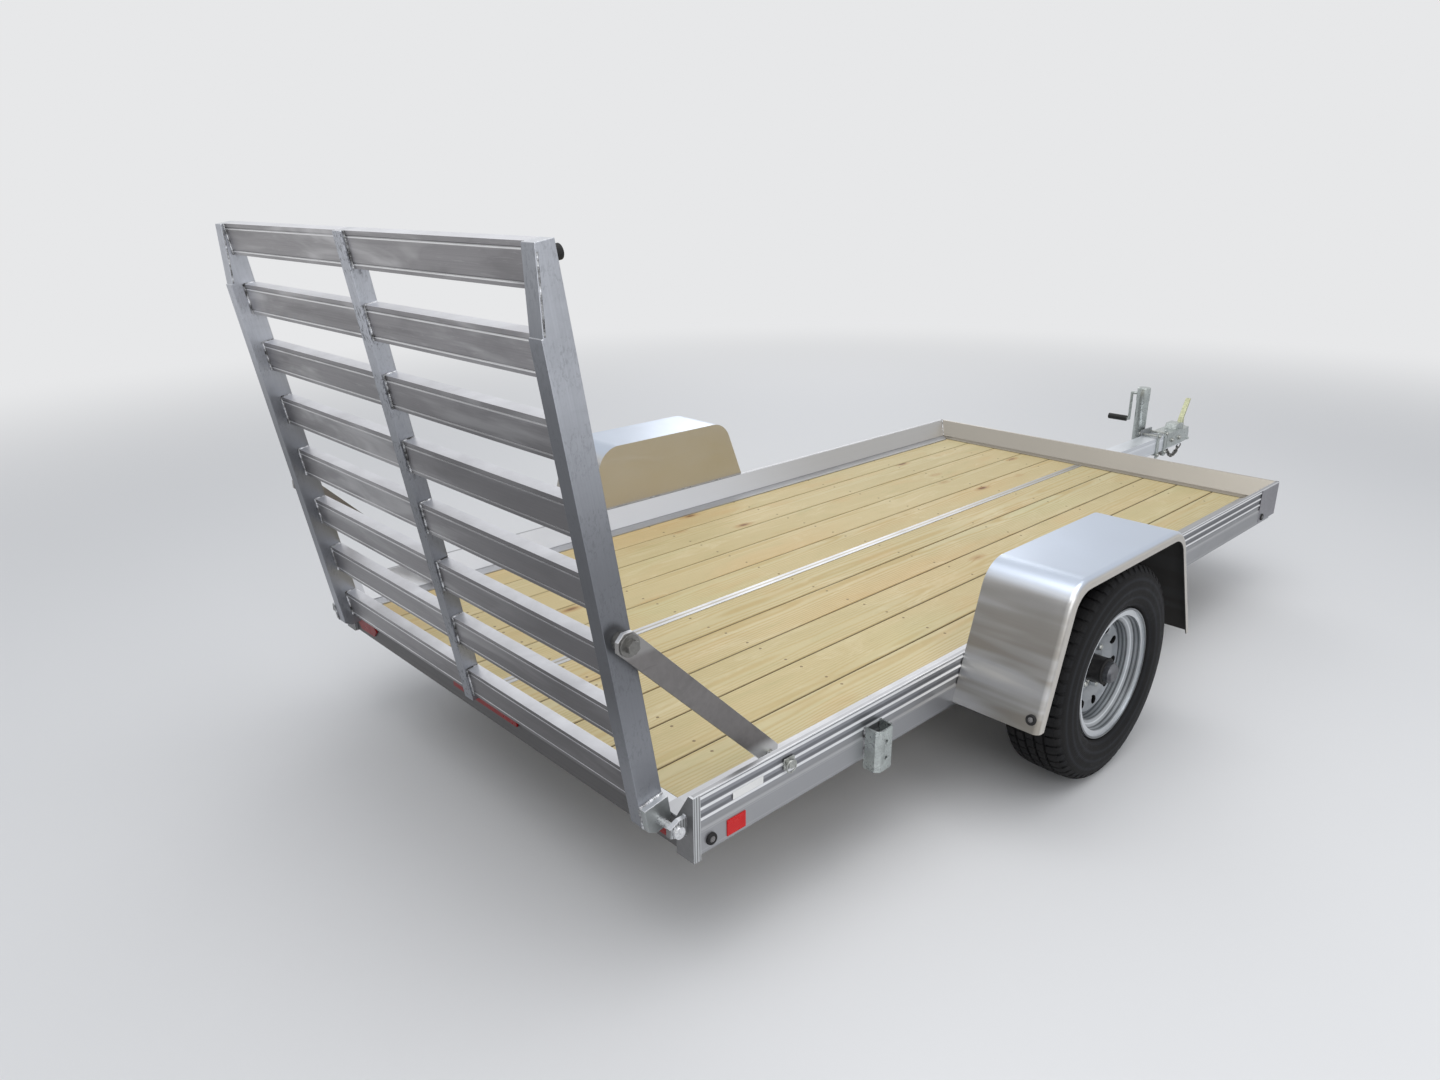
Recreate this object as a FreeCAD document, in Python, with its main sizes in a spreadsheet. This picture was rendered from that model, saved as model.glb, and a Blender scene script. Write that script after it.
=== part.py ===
"""Single-axle utility trailer with a wood deck, aluminium rails and a folding ramp gate.

Row frame: +X to the trailer's right, +Y forward to the coupler, +Z up, origin on the ground under
the middle of the overall length. All lengths are in millimetres.
"""
import FreeCAD, Part
import math
import os
import Sketcher

os.makedirs("parts", exist_ok=True)
doc = FreeCAD.newDocument("utility_trailer")

# Driving dimensions. Places along the bed count from the rear end of the side rails, and the jack's
# place counts back from the tongue's front end.
SIZES = {
    # bed
    "rear_end_y": -1955.7,
    "bed_width": 1580,
    "bed_length": 3100,
    # side rails and front rail, one extruded section
    "rail_bottom_z": 280,
    "rail_height": 150,
    "rail_wall": 3.5,
    "rail_top_flange": 12,
    "rail_foot": 50,
    "rail_shoulder": 85,
    "rail_skirt": 18,
    "rail_skirt_inset": 12,
    "rib_proud": 2.5,
    "rib_drop": 5,
    "rib_height": 2,
    "rib_slope": 7,
    "rib_one": 68,
    "rib_two": 92,
    "rib_three": 116,
    "rib_four": 140,
    "rail_top_lip": 3,
    "side_ledge_reach": 50,
    "front_ledge_reach": 36,
    "ledge_thick": 4,
    # rear end caps of the side rails
    "cap_thick": 6,
    "cap_lip": 2,
    "cap_lip_length": 20,
    # deck
    "deck_rise": 79,
    "deck_side_gap": 23.1,
    "board_thick": 38,
    "board_width": 139.7,
    "board_gap": 3.1,
    "board_ease": 3,
    "strip_web": 8,
    "strip_web_gap": 2,
    "strip_flange": 30,
    "strip_flange_thick": 2,
    # rear sill
    "sill_rear": 10,
    "sill_depth": 42,
    "sill_height": 76,
    "sill_wall": 4,
    "deck_clear": 0.5,
    # crossmembers
    "cross_inset": 230,
    "cross_count": 7,
    "cross_rise": 1,
    "cross_width": 50,
    "cross_wall": 3,
    # tongue, coupler
    "tongue_side": 76,
    "tongue_rise": 88,
    "tongue_wall": 4.8,
    "tongue_length": 900,
    "gusset_reach": 120,
    "gusset_thick": 6,
    "coupler_wall": 4,
    "coupler_lap": 175,
    "socket_radius": 25.8,
    "socket_depth": 35,
    "socket_wall": 8,
    "socket_reach": 90,
    "coupler_lip": 6,
    "hood_width": 56,
    "hood_height": 26,
    "hood_rear": 64,
    "hood_front": 36,
    "hood_slope": 20,
    "latch_ahead": 42,
    "latch_height": 130,
    "latch_width": 22,
    "latch_base": 34,
    "latch_heel": 10,
    "latch_knee": 41,
    "latch_back": 14,
    "latch_waist": 18,
    "latch_tip": 84,
    "latch_tip_thick": 14,
    # jack
    "jack_station": 235,
    "jack_plate": 8,
    "jack_plate_length": 110,
    "jack_plate_height": 130,
    "jack_spacer": 5,
    "jack_seat_clear": 0.1,
    "jack_radius": 28.5,
    "jack_wall": 3,
    "jack_below": 106,
    "jack_above": 162,
    "jack_head_radius": 30.5,
    "jack_head": 65,
    "leg_clear": 1,
    "leg_wall": 3,
    "leg_length": 330,
    "foot_plate": 130,
    "foot_corner": 16,
    "foot_thick": 6,
    "foot_socket": 44,
    "crank_shaft": 27,
    "crank_arm": 132,
    "crank_rod": 6.5,
    "grip_length": 90,
    "grip_radius": 14,
    # wheels and axle
    "wheel_station": 1317,
    "wheel_radius": 305,
    "wheel_offset": 140,
    "tyre_half_width": 88.5,
    "tread_half_width": 68,
    "tyre_wall": 9,
    "tread_thick": 12,
    "tread_round": 16,
    "tread_fall": 1,
    "tread_edge_fall": 7,
    "shoulder_fall": 28,
    "shoulder_inset": 5,
    "sidewall_above_rim": 34,
    "sidewall_below_tread": 62,
    "bead_length": 15,
    "bead_radius": 165,
    "rim_lip_radius": 182.5,
    "rim_half_width": 74,
    "rim_wall": 3,
    "rim_flange": 8,
    "rim_curl": 5,
    "rim_drop": 21,
    "bead_seat_length": 18,
    "bead_seat_fall": 2,
    "drop_slope": 10,
    "disc_thick": 5,
    "disc_clear": 1,
    "disc_seat_radius": 78,
    "disc_bowl": 18,
    "disc_bowl_radius": 98,
    "disc_crown": 21,
    "disc_crown_radius": 126,
    "disc_rim_offset": 10,
    "vent_count": 10,
    "vent_radius": 12,
    "vent_circle": 107,
    "vent_turn": 25.5,
    "hub_radius": 36,
    "hub_nose": 52,
    "cap_radius": 29,
    "cap_height": 24,
    "cap_round": 7,
    "hub_collar": 4,
    "hub_flange": 8,
    "hub_flange_margin": 14,
    "nut_count": 5,
    "nut_circle": 57.15,
    "nut_radius": 11,
    "nut_length": 22,
    "spindle_radius": 19,
    "spindle_clear": 0.05,
    "hub_clear": 5,
    "axle_lead": 133,
    "axle_drop": 45,
    "axle_side": 60,
    "axle_wall": 5,
    "arm_rail_gap": 6,
    "arm_thick": 24,
    "arm_end_radius": 34,
    "bracket_length": 150,
    "bracket_width": 40,
    # fenders
    "fender_width": 240,
    "fender_sheet": 3,
    "fender_bottom_z": 304,
    "fender_tyre_gap": 47,
    "fender_rear_foot": 435,
    "fender_rear_top": 322,
    "fender_front_top": 278,
    "fender_front_foot": 421,
    "fender_corner": 92,
    "fender_lip": 26,
    "fender_bend": 16,
    # fittings on the rails
    "pocket_station": 557,
    "pocket_length": 60,
    "pocket_reach": 42,
    "pocket_height": 106,
    "pocket_drop": 12,
    "pocket_wall": 5,
    "pocket_corner": 10,
    "pocket_hole_inset": 32,
    "lamp_radius": 11.5,
    "lamp_proud": 5,
    "rear_lamp_station": 48,
    "front_lamp_inset": 143,
    "lamp_rise": 37,
    "reflector_station": 91.5,
    "reflector_length": 52,
    "reflector_height": 37,
    "reflector_rise": 20,
    "reflector_proud": 2,
    "tail_lamp_inset": 20,
    "tail_lamp_length": 120,
    "tail_lamp_height": 38,
    "tail_lamp_rise": 38,
    "tail_lamp_proud": 5,
    "id_bar_length": 300,
    "id_bar_height": 16,
    # gate
    "gate_lean_angle": 9.36,
    "hinge_station": -26,
    "hinge_rise": 82,
    "gate_top": 1116,
    "gate_front": 29,
    "gate_toe_fall": 9,
    "gate_toe_ease": 11,
    "gate_foot_fall": 25,
    "gate_heel_fall": 12,
    "gate_heel_ease": 18,
    "upright_width": 38,
    "upright_depth": 60,
    "upright_wall": 3,
    "middle_depth": 38,
    "wedge_length": 143,
    "wedge_depth": 38,
    "wedge_ledge": 3,
    "slat_count": 8,
    "slat_pitch": 148,
    "slat_height": 75,
    "slat_depth": 30,
    "slat_wall": 2.5,
    "slat_groove": 3,
    "slat_groove_depth": 1.5,
    "slat_groove_edge": 9,
    "block_thick": 18,
    "block_height": 40,
    "hinge_pin_radius": 8,
    "hinge_pin_clear": 0.05,
    "ear_inset": 22,
    "ear_neck": 6,
    "ear_thick": 12,
    "ear_height": 40,
    "ear_rear": 18,
    "pin_head_radius": 13,
    "pin_head": 10,
    "bumper_radius": 13,
    "bumper_height": 16,
    "bumper_inset": 25,
    # braces
    "brace_rail_gap": 5,
    "brace_gate_gap": 21,
    "brace_thick": 10,
    "brace_width": 50,
    "pivot_along": 412,
    "pivot_across": -1,
    "pivot_radius": 8,
    "pivot_clear": 0.3,
    "spacer_radius": 17,
    "washer_radius": 22,
    "washer_thick": 4,
    "pivot_nut_radius": 14,
    "pivot_nut": 12,
    "rail_pin_station": 273,
    "rail_pin_rise": 113,
    "rail_pin_radius": 6,
    "rail_pin_collar": 10,
    "rail_pin_head": 12,
    "run_clear": 0.3,
}


class Size:
    """A length with the sheet expression it comes from, so shapes stay bound to the sheet."""

    def __init__(self, text, value):
        self.text = text
        self.value = value

    def __add__(self, other):
        return Size("(%s + %s)" % (self.text, as_size(other).text), self.value + as_size(other).value)

    def __radd__(self, other):
        return as_size(other) + self

    def __sub__(self, other):
        return Size("(%s - %s)" % (self.text, as_size(other).text), self.value - as_size(other).value)

    def __rsub__(self, other):
        return as_size(other) - self

    def __mul__(self, other):
        return Size("(%s * %s)" % (self.text, as_size(other).text), self.value * as_size(other).value)

    def __rmul__(self, other):
        return as_size(other) * self

    def __truediv__(self, other):
        return Size("(%s / %s)" % (self.text, as_size(other).text), self.value / as_size(other).value)

    def __rtruediv__(self, other):
        return as_size(other) / self

    def __neg__(self):
        return Size("(0 - %s)" % self.text, -self.value)


def as_size(thing):
    return thing if isinstance(thing, Size) else Size(repr(thing), thing)


def size_function(name, function):
    """A function of sizes that works on the number and in the sheet's own language."""
    def apply(*sizes):
        known = [as_size(one) for one in sizes]
        text = "%s(%s)" % (name, "; ".join(one.text for one in known))
        return Size(text, function(*[one.value for one in known]))
    return apply


sine = size_function("sin", lambda angle: math.sin(math.radians(angle)))
cosine = size_function("cos", lambda angle: math.cos(math.radians(angle)))
length_of = size_function("hypot", math.hypot)
heading = size_function("atan2", lambda rise, run: math.degrees(math.atan2(rise, run)))


class SheetSizes:
    """Every alias of the sheet as an attribute."""


sheet = doc.addObject("Spreadsheet::Sheet", "sizes")
S = SheetSizes()
for row, (alias, number) in enumerate(SIZES.items(), start=1):
    sheet.set("A%d" % row, alias)
    sheet.set("B%d" % row, str(number))
    sheet.setAlias("B%d" % row, alias)
    setattr(S, alias, Size("sizes." + alias, number))
doc.recompute()

X_AXIS = FreeCAD.Vector(1, 0, 0)
Y_AXIS = FreeCAD.Vector(0, 1, 0)
SIDES = (("left", -1), ("right", 1))
nodes = []


# Helpers: binding, placing and the few ways in which a piece is made

def bind(thing, prop, size):
    """Set a property to a size: a plain number as it is, a sheet size as an expression."""
    if isinstance(size, Size):
        thing.setExpression(prop, size.text)
    else:
        thing.setExpression(prop, repr(size))


def place(thing, x=0, y=0, z=0, axis=None, angle=0):
    """Placement bound to the sheet, with a turn by angle about axis where one is given."""
    if axis is not None:
        thing.Placement = FreeCAD.Placement(FreeCAD.Vector(), FreeCAD.Rotation(axis, 1))
        bind(thing, "Placement.Rotation.Angle", angle)
    bind(thing, "Placement.Base.x", x)
    bind(thing, "Placement.Base.y", y)
    bind(thing, "Placement.Base.z", z)
    return thing


def on_bed(thing, x=0, y=0, z=0):
    """Place by a station counted from the rear end of the side rails."""
    return place(thing, x, S.rear_end_y + y, z)


def on_gate(thing):
    """The gate's own frame: origin on the hinge axis, +Z up along the leaning gate."""
    return place(thing, 0, S.rear_end_y + S.hinge_station, hinge_z, X_AXIS, S.gate_lean_angle)


def keep(thing, label):
    """Name a finished sub-part."""
    thing.Label = label
    nodes.append(thing)
    return thing


def together(label, pieces, placer=on_bed):
    """Like pieces that share one node as separate solids."""
    group = doc.addObject("Part::Compound", "Group_" + label)
    group.Links = pieces
    placer(group)
    return keep(group, label)


def new_body(label):
    body = doc.addObject("PartDesign::Body", "Body_" + label)
    body.Label = label
    return body


def origin_feature(body, role):
    return next(one for one in body.Origin.OriginFeatures if one.Role == role)


def circle(across, up, radius):
    return ("circle", across, up, radius)


def rectangle(low_u, low_v, high_u, high_v):
    return [(low_u, low_v), (high_u, low_v), (high_u, high_v), (low_u, high_v)]


def sketch(body, plane, loops, offset=0):
    """Closed outlines on one of the body's planes, every point held by two bound dimensions."""
    drawn = body.newObject("Sketcher::SketchObject", "Outline")
    drawn.AttachmentSupport = (origin_feature(body, plane), [""])
    drawn.MapMode = "FlatFace"
    bind(drawn, "AttachmentOffset.Base.z", offset)
    shapes = []
    rules = []
    bound = []

    def hold(kind, edge, point, size):
        bound.append((len(rules), size))
        rules.append(Sketcher.Constraint(kind, -1, 1, edge, point, float(as_size(size).value)))

    for loop in loops:
        first = len(shapes)
        if loop[0] == "circle":
            centre = FreeCAD.Vector(as_size(loop[1]).value, as_size(loop[2]).value, 0)
            radius = as_size(loop[3])
            shapes.append(Part.Circle(centre, FreeCAD.Vector(0, 0, 1), radius.value))
            hold("DistanceX", first, 3, loop[1])
            hold("DistanceY", first, 3, loop[2])
            bound.append((len(rules), radius))
            rules.append(Sketcher.Constraint("Radius", first, radius.value))
            continue
        corners = [FreeCAD.Vector(as_size(u).value, as_size(v).value, 0) for u, v in loop]
        count = len(corners)
        for index in range(count):
            following = (index + 1) % count
            shapes.append(Part.LineSegment(corners[index], corners[following]))
            rules.append(Sketcher.Constraint("Coincident", first + index, 2, first + following, 1))
        for index, (u, v) in enumerate(loop):
            hold("DistanceX", first + index, 1, u)
            hold("DistanceY", first + index, 1, v)
    drawn.addGeometry(shapes, False)
    drawn.addConstraint(rules)
    for index, size in bound:
        if isinstance(size, Size):
            drawn.setExpression("Constraints[%d]" % index, size.text)
    return drawn


# Each plane's normal, as the sign along its row axis
NORMAL = {"YZ_Plane": 1, "XZ_Plane": -1, "XY_Plane": 1}


def sweep_straight(body, kind, plane, loops, start, end):
    """A Pad or Pocket that runs from start to end along the plane's axis."""
    sign = NORMAL[plane]
    drawn = sketch(body, plane, loops, as_size(start) * sign)
    feature = body.newObject("PartDesign::" + kind, kind)
    feature.Profile = drawn
    bind(feature, "Length", as_size(end) - start)
    feature.Reversed = (sign < 0) if kind == "Pad" else (sign > 0)
    return feature


def add(body, plane, loops, start, end):
    return sweep_straight(body, "Pad", plane, loops, start, end)


def cut(body, plane, loops, start, end):
    return sweep_straight(body, "Pocket", plane, loops, start, end)


def extruded(label, plane, loops, start, end):
    body = new_body(label)
    add(body, plane, loops, start, end)
    return body


def revolved(label, outline, plane="XY_Plane", axis="X_Axis"):
    body = new_body(label)
    feature = body.newObject("PartDesign::Revolution", "Revolution")
    feature.Profile = sketch(body, plane, [outline])
    feature.ReferenceAxis = (origin_feature(body, axis), [""])
    feature.Angle = 360
    return body


def round_edges(body, radius, chosen):
    """Fillet the edges of the body for which chosen(edge) is true."""
    doc.recompute()
    base = body.Tip
    names = ["Edge%d" % number for number, edge in enumerate(base.Shape.Edges, start=1) if chosen(edge)]
    fillet = body.newObject("PartDesign::Fillet", "Fillet")
    fillet.Base = (base, names)
    bind(fillet, "Radius", radius)
    return fillet


def runs_along(edge, axis):
    """True for a straight edge parallel to the axis."""
    if edge.Curve.TypeId != "Part::GeomLine":
        return False
    return edge.Curve.Direction.cross(axis).Length < 1e-6


def rod(label, radius, length, x, y, z, axis=None):
    """A round bar from its start point along +X, +Y or +Z."""
    bar = doc.addObject("Part::Cylinder", "Rod_" + label)
    bar.Label = label
    bind(bar, "Radius", radius)
    bind(bar, "Height", length)
    turn = {None: (None, 0), "X": (Y_AXIS, 90), "Y": (X_AXIS, -90)}[axis]
    return place(bar, x, y, z, *turn)


def joined(label, pieces):
    fused = doc.addObject("Part::MultiFuse", "Joined_" + label)
    fused.Shapes = pieces
    fused.Label = label
    return fused


def minus(label, base, tool):
    left = doc.addObject("Part::Cut", "Cut_" + label)
    left.Base = base
    left.Tool = tool
    left.Label = label
    return left


# Bed frame

half_bed = S.bed_width / 2
rail_inside = half_bed - S.rail_foot
brace_inner = rail_inside - S.brace_rail_gap - S.brace_thick
gate_half = brace_inner - S.brace_gate_gap
ear_inner = rail_inside + S.ear_inset
rail_top_z = S.rail_bottom_z + S.rail_height
deck_top_z = S.rail_bottom_z + S.deck_rise
tongue_top_z = S.rail_bottom_z + S.tongue_rise
hinge_z = S.rail_bottom_z + S.hinge_rise
rail_pin_z = S.rail_bottom_z + S.rail_pin_rise
wheel_plane = half_bed + S.wheel_offset


def rail_loops(outward, face, ledge_reach):
    """The rail's section: recessed foot, ribbed outer face, sloping inner face, ledge over the boards."""
    groove = face - outward * S.rib_proud

    def across(inset):
        return face - outward * inset

    def up(height):
        return S.rail_bottom_z + height

    outer = [(across(S.rail_skirt_inset), up(0)), (across(S.rail_skirt_inset), up(S.rail_skirt)),
             (face, up(S.rail_skirt))]
    for rib in (S.rib_one, S.rib_two, S.rib_three, S.rib_four):
        low = up(rib - S.rib_drop)
        crest = up(rib - S.rib_drop + S.rib_height)
        high = up(rib - S.rib_drop + S.rib_height + S.rib_slope)
        if rib is not S.rib_one:
            outer += [(groove, low), (face, low)]
        outer += [(face, crest), (groove, high)]
    lip = up(S.rail_height - S.rail_top_lip)
    outer += [(groove, lip), (face, lip), (face, up(S.rail_height))]
    outer += [
        (across(S.rail_top_flange), up(S.rail_height)),
        (across(S.rail_foot), up(S.rail_shoulder)),
        (across(S.rail_foot), up(S.deck_rise + S.ledge_thick)),
        (across(S.rail_foot + ledge_reach), up(S.deck_rise + S.ledge_thick)),
        (across(S.rail_foot + ledge_reach), up(S.deck_rise)),
        (across(S.rail_foot), up(S.deck_rise)),
        (across(S.rail_foot), up(0)),
    ]
    skin = S.rib_proud + S.rail_wall
    inner = [
        (across(S.rail_skirt_inset + S.rail_wall), up(S.rail_wall)),
        (across(S.rail_skirt_inset + S.rail_wall), up(S.rail_skirt + S.rail_wall)),
        (across(skin), up(S.rail_skirt + S.rail_wall)),
        (across(skin), up(S.rail_height - S.rail_wall)),
        (across(S.rail_top_flange - S.rib_proud), up(S.rail_height - S.rail_wall)),
        (across(S.rail_foot - S.rail_wall), up(S.rail_shoulder)),
        (across(S.rail_foot - S.rail_wall), up(S.rail_wall)),
    ]
    return [outer, inner]


def build_rails():
    mitre = S.rail_foot + S.side_ledge_reach + 2 * S.rail_wall
    for side, sign in SIDES:
        rail = extruded("rail_" + side, "XZ_Plane", rail_loops(sign, sign * half_bed, S.side_ledge_reach),
                        S.cap_thick, S.bed_length)
        corner = [(sign * half_bed, S.bed_length), (sign * (half_bed - mitre), S.bed_length),
                  (sign * (half_bed - mitre), S.bed_length - mitre)]
        cut(rail, "XY_Plane", [corner], S.rail_bottom_z - S.rail_wall, rail_top_z + S.rail_wall)
        on_bed(keep(rail, "rail_" + side))
    front = extruded("front_rail", "YZ_Plane", rail_loops(1, S.bed_length, S.front_ledge_reach),
                     -half_bed, half_bed)
    for side, sign in SIDES:
        corner = [(sign * half_bed, S.bed_length), (sign * half_bed, S.bed_length - mitre),
                  (sign * (half_bed - mitre), S.bed_length - mitre)]
        cut(front, "XY_Plane", [corner], S.rail_bottom_z - S.rail_wall, rail_top_z + S.rail_wall)
    on_bed(keep(front, "front_rail"))


def build_rail_end_caps():
    for side, sign in SIDES:
        section = [
            (sign * half_bed, S.rail_bottom_z),
            (sign * half_bed, rail_top_z),
            (sign * (half_bed - S.rail_top_flange), rail_top_z),
            (sign * (half_bed - S.rail_foot), S.rail_bottom_z + S.rail_shoulder),
            (sign * (half_bed - S.rail_foot), S.rail_bottom_z),
        ]
        cap = extruded("rail_end_cap_" + side, "XZ_Plane", [section], 0, S.cap_thick)
        strip = [(sign * half_bed, S.rail_bottom_z), (sign * (half_bed + S.cap_lip), S.rail_bottom_z),
                 (sign * (half_bed + S.cap_lip), rail_top_z), (sign * half_bed, rail_top_z)]
        add(cap, "XZ_Plane", [strip], 0, S.cap_lip_length)
        on_bed(keep(cap, "rail_end_cap_" + side))


def build_rear_sill():
    top = deck_top_z
    low = top - S.sill_height
    front = S.sill_rear + S.sill_depth
    outer = rectangle(S.sill_rear, low, front, top)
    inner = rectangle(S.sill_rear + S.sill_wall, low + S.sill_wall, front - S.sill_wall, top - S.sill_wall)
    on_bed(keep(extruded("rear_sill", "YZ_Plane", [outer, inner], -rail_inside, rail_inside), "rear_sill"))


def build_crossmembers():
    top = deck_top_z - S.board_thick
    low = S.rail_bottom_z + S.cross_rise
    pitch = (S.bed_length - 2 * S.cross_inset) / (S.cross_count - 1)
    tubes = []
    for index in range(int(S.cross_count.value)):
        middle = S.cross_inset + pitch * index
        outer = rectangle(middle - S.cross_width / 2, low, middle + S.cross_width / 2, top)
        inner = rectangle(middle - S.cross_width / 2 + S.cross_wall, low + S.cross_wall,
                          middle + S.cross_width / 2 - S.cross_wall, top - S.cross_wall)
        tubes.append(extruded("crossmember_%d" % (index + 1), "YZ_Plane", [outer, inner],
                              -rail_inside, rail_inside))
    together("crossmembers", tubes)


def build_deck():
    rear = S.sill_rear + S.sill_depth + S.deck_clear
    front = S.bed_length - S.rail_foot - S.deck_clear
    low = deck_top_z - S.board_thick
    first = S.strip_web / 2 + S.strip_web_gap
    last = rail_inside - S.deck_side_gap
    count = math.ceil(((last - first) / (S.board_width + S.board_gap)).value)
    for side, sign in SIDES:
        boards = []
        for index in range(count):
            near = first + (S.board_width + S.board_gap) * index
            far = near + S.board_width if index < count - 1 else last
            outline = [
                (sign * near, low), (sign * far, low),
                (sign * far, deck_top_z - S.board_ease),
                (sign * (far - S.board_ease), deck_top_z),
                (sign * (near + S.board_ease), deck_top_z),
                (sign * near, deck_top_z - S.board_ease),
            ]
            boards.append(extruded("board_%s_%d" % (side, index + 1), "XZ_Plane", [outline], rear, front))
        together("deck_boards_" + side, boards)
    web = S.strip_web / 2
    flange = S.strip_flange / 2
    top = deck_top_z + S.strip_flange_thick
    outline = [(-web, low), (web, low), (web, deck_top_z), (flange, deck_top_z), (flange, top),
               (-flange, top), (-flange, deck_top_z), (-web, deck_top_z)]
    ledge = front - S.front_ledge_reach
    strip = extruded("centre_strip", "XZ_Plane", [outline], rear, ledge)
    add(strip, "XZ_Plane", [rectangle(-web, low, web, deck_top_z)], ledge, front)
    on_bed(keep(strip, "centre_strip"))


# Tongue, coupler and jack

tongue_low_z = tongue_top_z - S.tongue_side
tongue_end = S.bed_length + S.tongue_length


def build_tongue():
    half = S.tongue_side / 2
    outer = rectangle(-half, tongue_low_z, half, tongue_top_z)
    inner = rectangle(S.tongue_wall - half, tongue_low_z + S.tongue_wall,
                      half - S.tongue_wall, tongue_top_z - S.tongue_wall)
    on_bed(keep(extruded("tongue", "XZ_Plane", [outer, inner], S.bed_length, tongue_end), "tongue"))
    plates = []
    for side, sign in SIDES:
        outline = [(sign * half, S.bed_length), (sign * (half + S.gusset_reach), S.bed_length),
                   (sign * half, S.bed_length + S.gusset_reach)]
        plates.append(extruded("tongue_gusset_" + side, "XY_Plane", [outline], tongue_low_z,
                               tongue_low_z + S.gusset_thick))
    together("tongue_gussets", plates)


def build_coupler():
    half = S.tongue_side / 2
    wide = half + S.coupler_wall
    top = tongue_top_z + S.coupler_wall
    low = tongue_low_z + 2 * S.coupler_wall
    ball = tongue_end + S.socket_reach
    dome = S.socket_radius + S.socket_wall
    channel = [(-wide, low), (-half, low), (-half, tongue_top_z), (half, tongue_top_z),
               (half, low), (wide, low), (wide, top), (-wide, top)]
    saddle = extruded("coupler_saddle", "XZ_Plane", [channel], tongue_end - S.coupler_lap, tongue_end)
    neck_loop = [(-wide, tongue_end), (wide, tongue_end), (dome, ball), (-dome, ball)]
    neck = extruded("coupler_neck", "XY_Plane", [neck_loop], low, top - S.coupler_lip)
    nose = rod("coupler_nose", dome, S.socket_depth, 0, ball, low)
    lip = rod("coupler_flange", dome + S.coupler_lip, S.coupler_lip, 0, ball, low)
    crown = doc.addObject("Part::Sphere", "Coupler_crown")
    bind(crown, "Radius", dome)
    place(crown, 0, ball, low + S.socket_depth)
    bore = rod("socket_bore", S.socket_radius, S.socket_depth + S.coupler_wall, 0, ball,
               low - S.coupler_wall)
    hollow = doc.addObject("Part::Sphere", "Socket_hollow")
    bind(hollow, "Radius", S.socket_radius)
    place(hollow, 0, ball, low + S.socket_depth)
    root = top - S.coupler_lip
    rear = tongue_end - S.hood_rear
    front = tongue_end + S.hood_front
    hood = extruded("coupler_hood", "YZ_Plane", [[
        (rear, tongue_top_z), (tongue_end, tongue_top_z), (tongue_end, root), (front, root),
        (front - S.hood_slope, top + S.hood_height), (rear + S.hood_slope, top + S.hood_height),
    ]], -S.hood_width / 2, S.hood_width / 2)
    shell = minus("coupler", joined("coupler_outer", [saddle, neck, nose, lip, crown, hood]),
                  joined("socket", [bore, hollow]))
    on_bed(keep(shell, "coupler"))

    foot = tongue_end + S.latch_ahead
    lever = [
        (foot, root), (foot + S.latch_base, root), (foot + S.latch_base, top + S.latch_heel),
        (foot + S.latch_back + S.latch_waist, top + S.latch_knee),
        (foot + S.latch_tip, top + S.latch_height),
        (foot + S.latch_tip - S.latch_tip_thick, top + S.latch_height),
        (foot + S.latch_back, top + S.latch_knee), (foot, top + S.latch_heel),
    ]
    on_bed(keep(extruded("coupler_latch", "YZ_Plane", [lever], -S.latch_width / 2, S.latch_width / 2),
                "coupler_latch"))


jack_x = -(S.tongue_side / 2 + S.jack_plate + S.jack_spacer + S.jack_radius)
jack_y = tongue_end - S.jack_station


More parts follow.
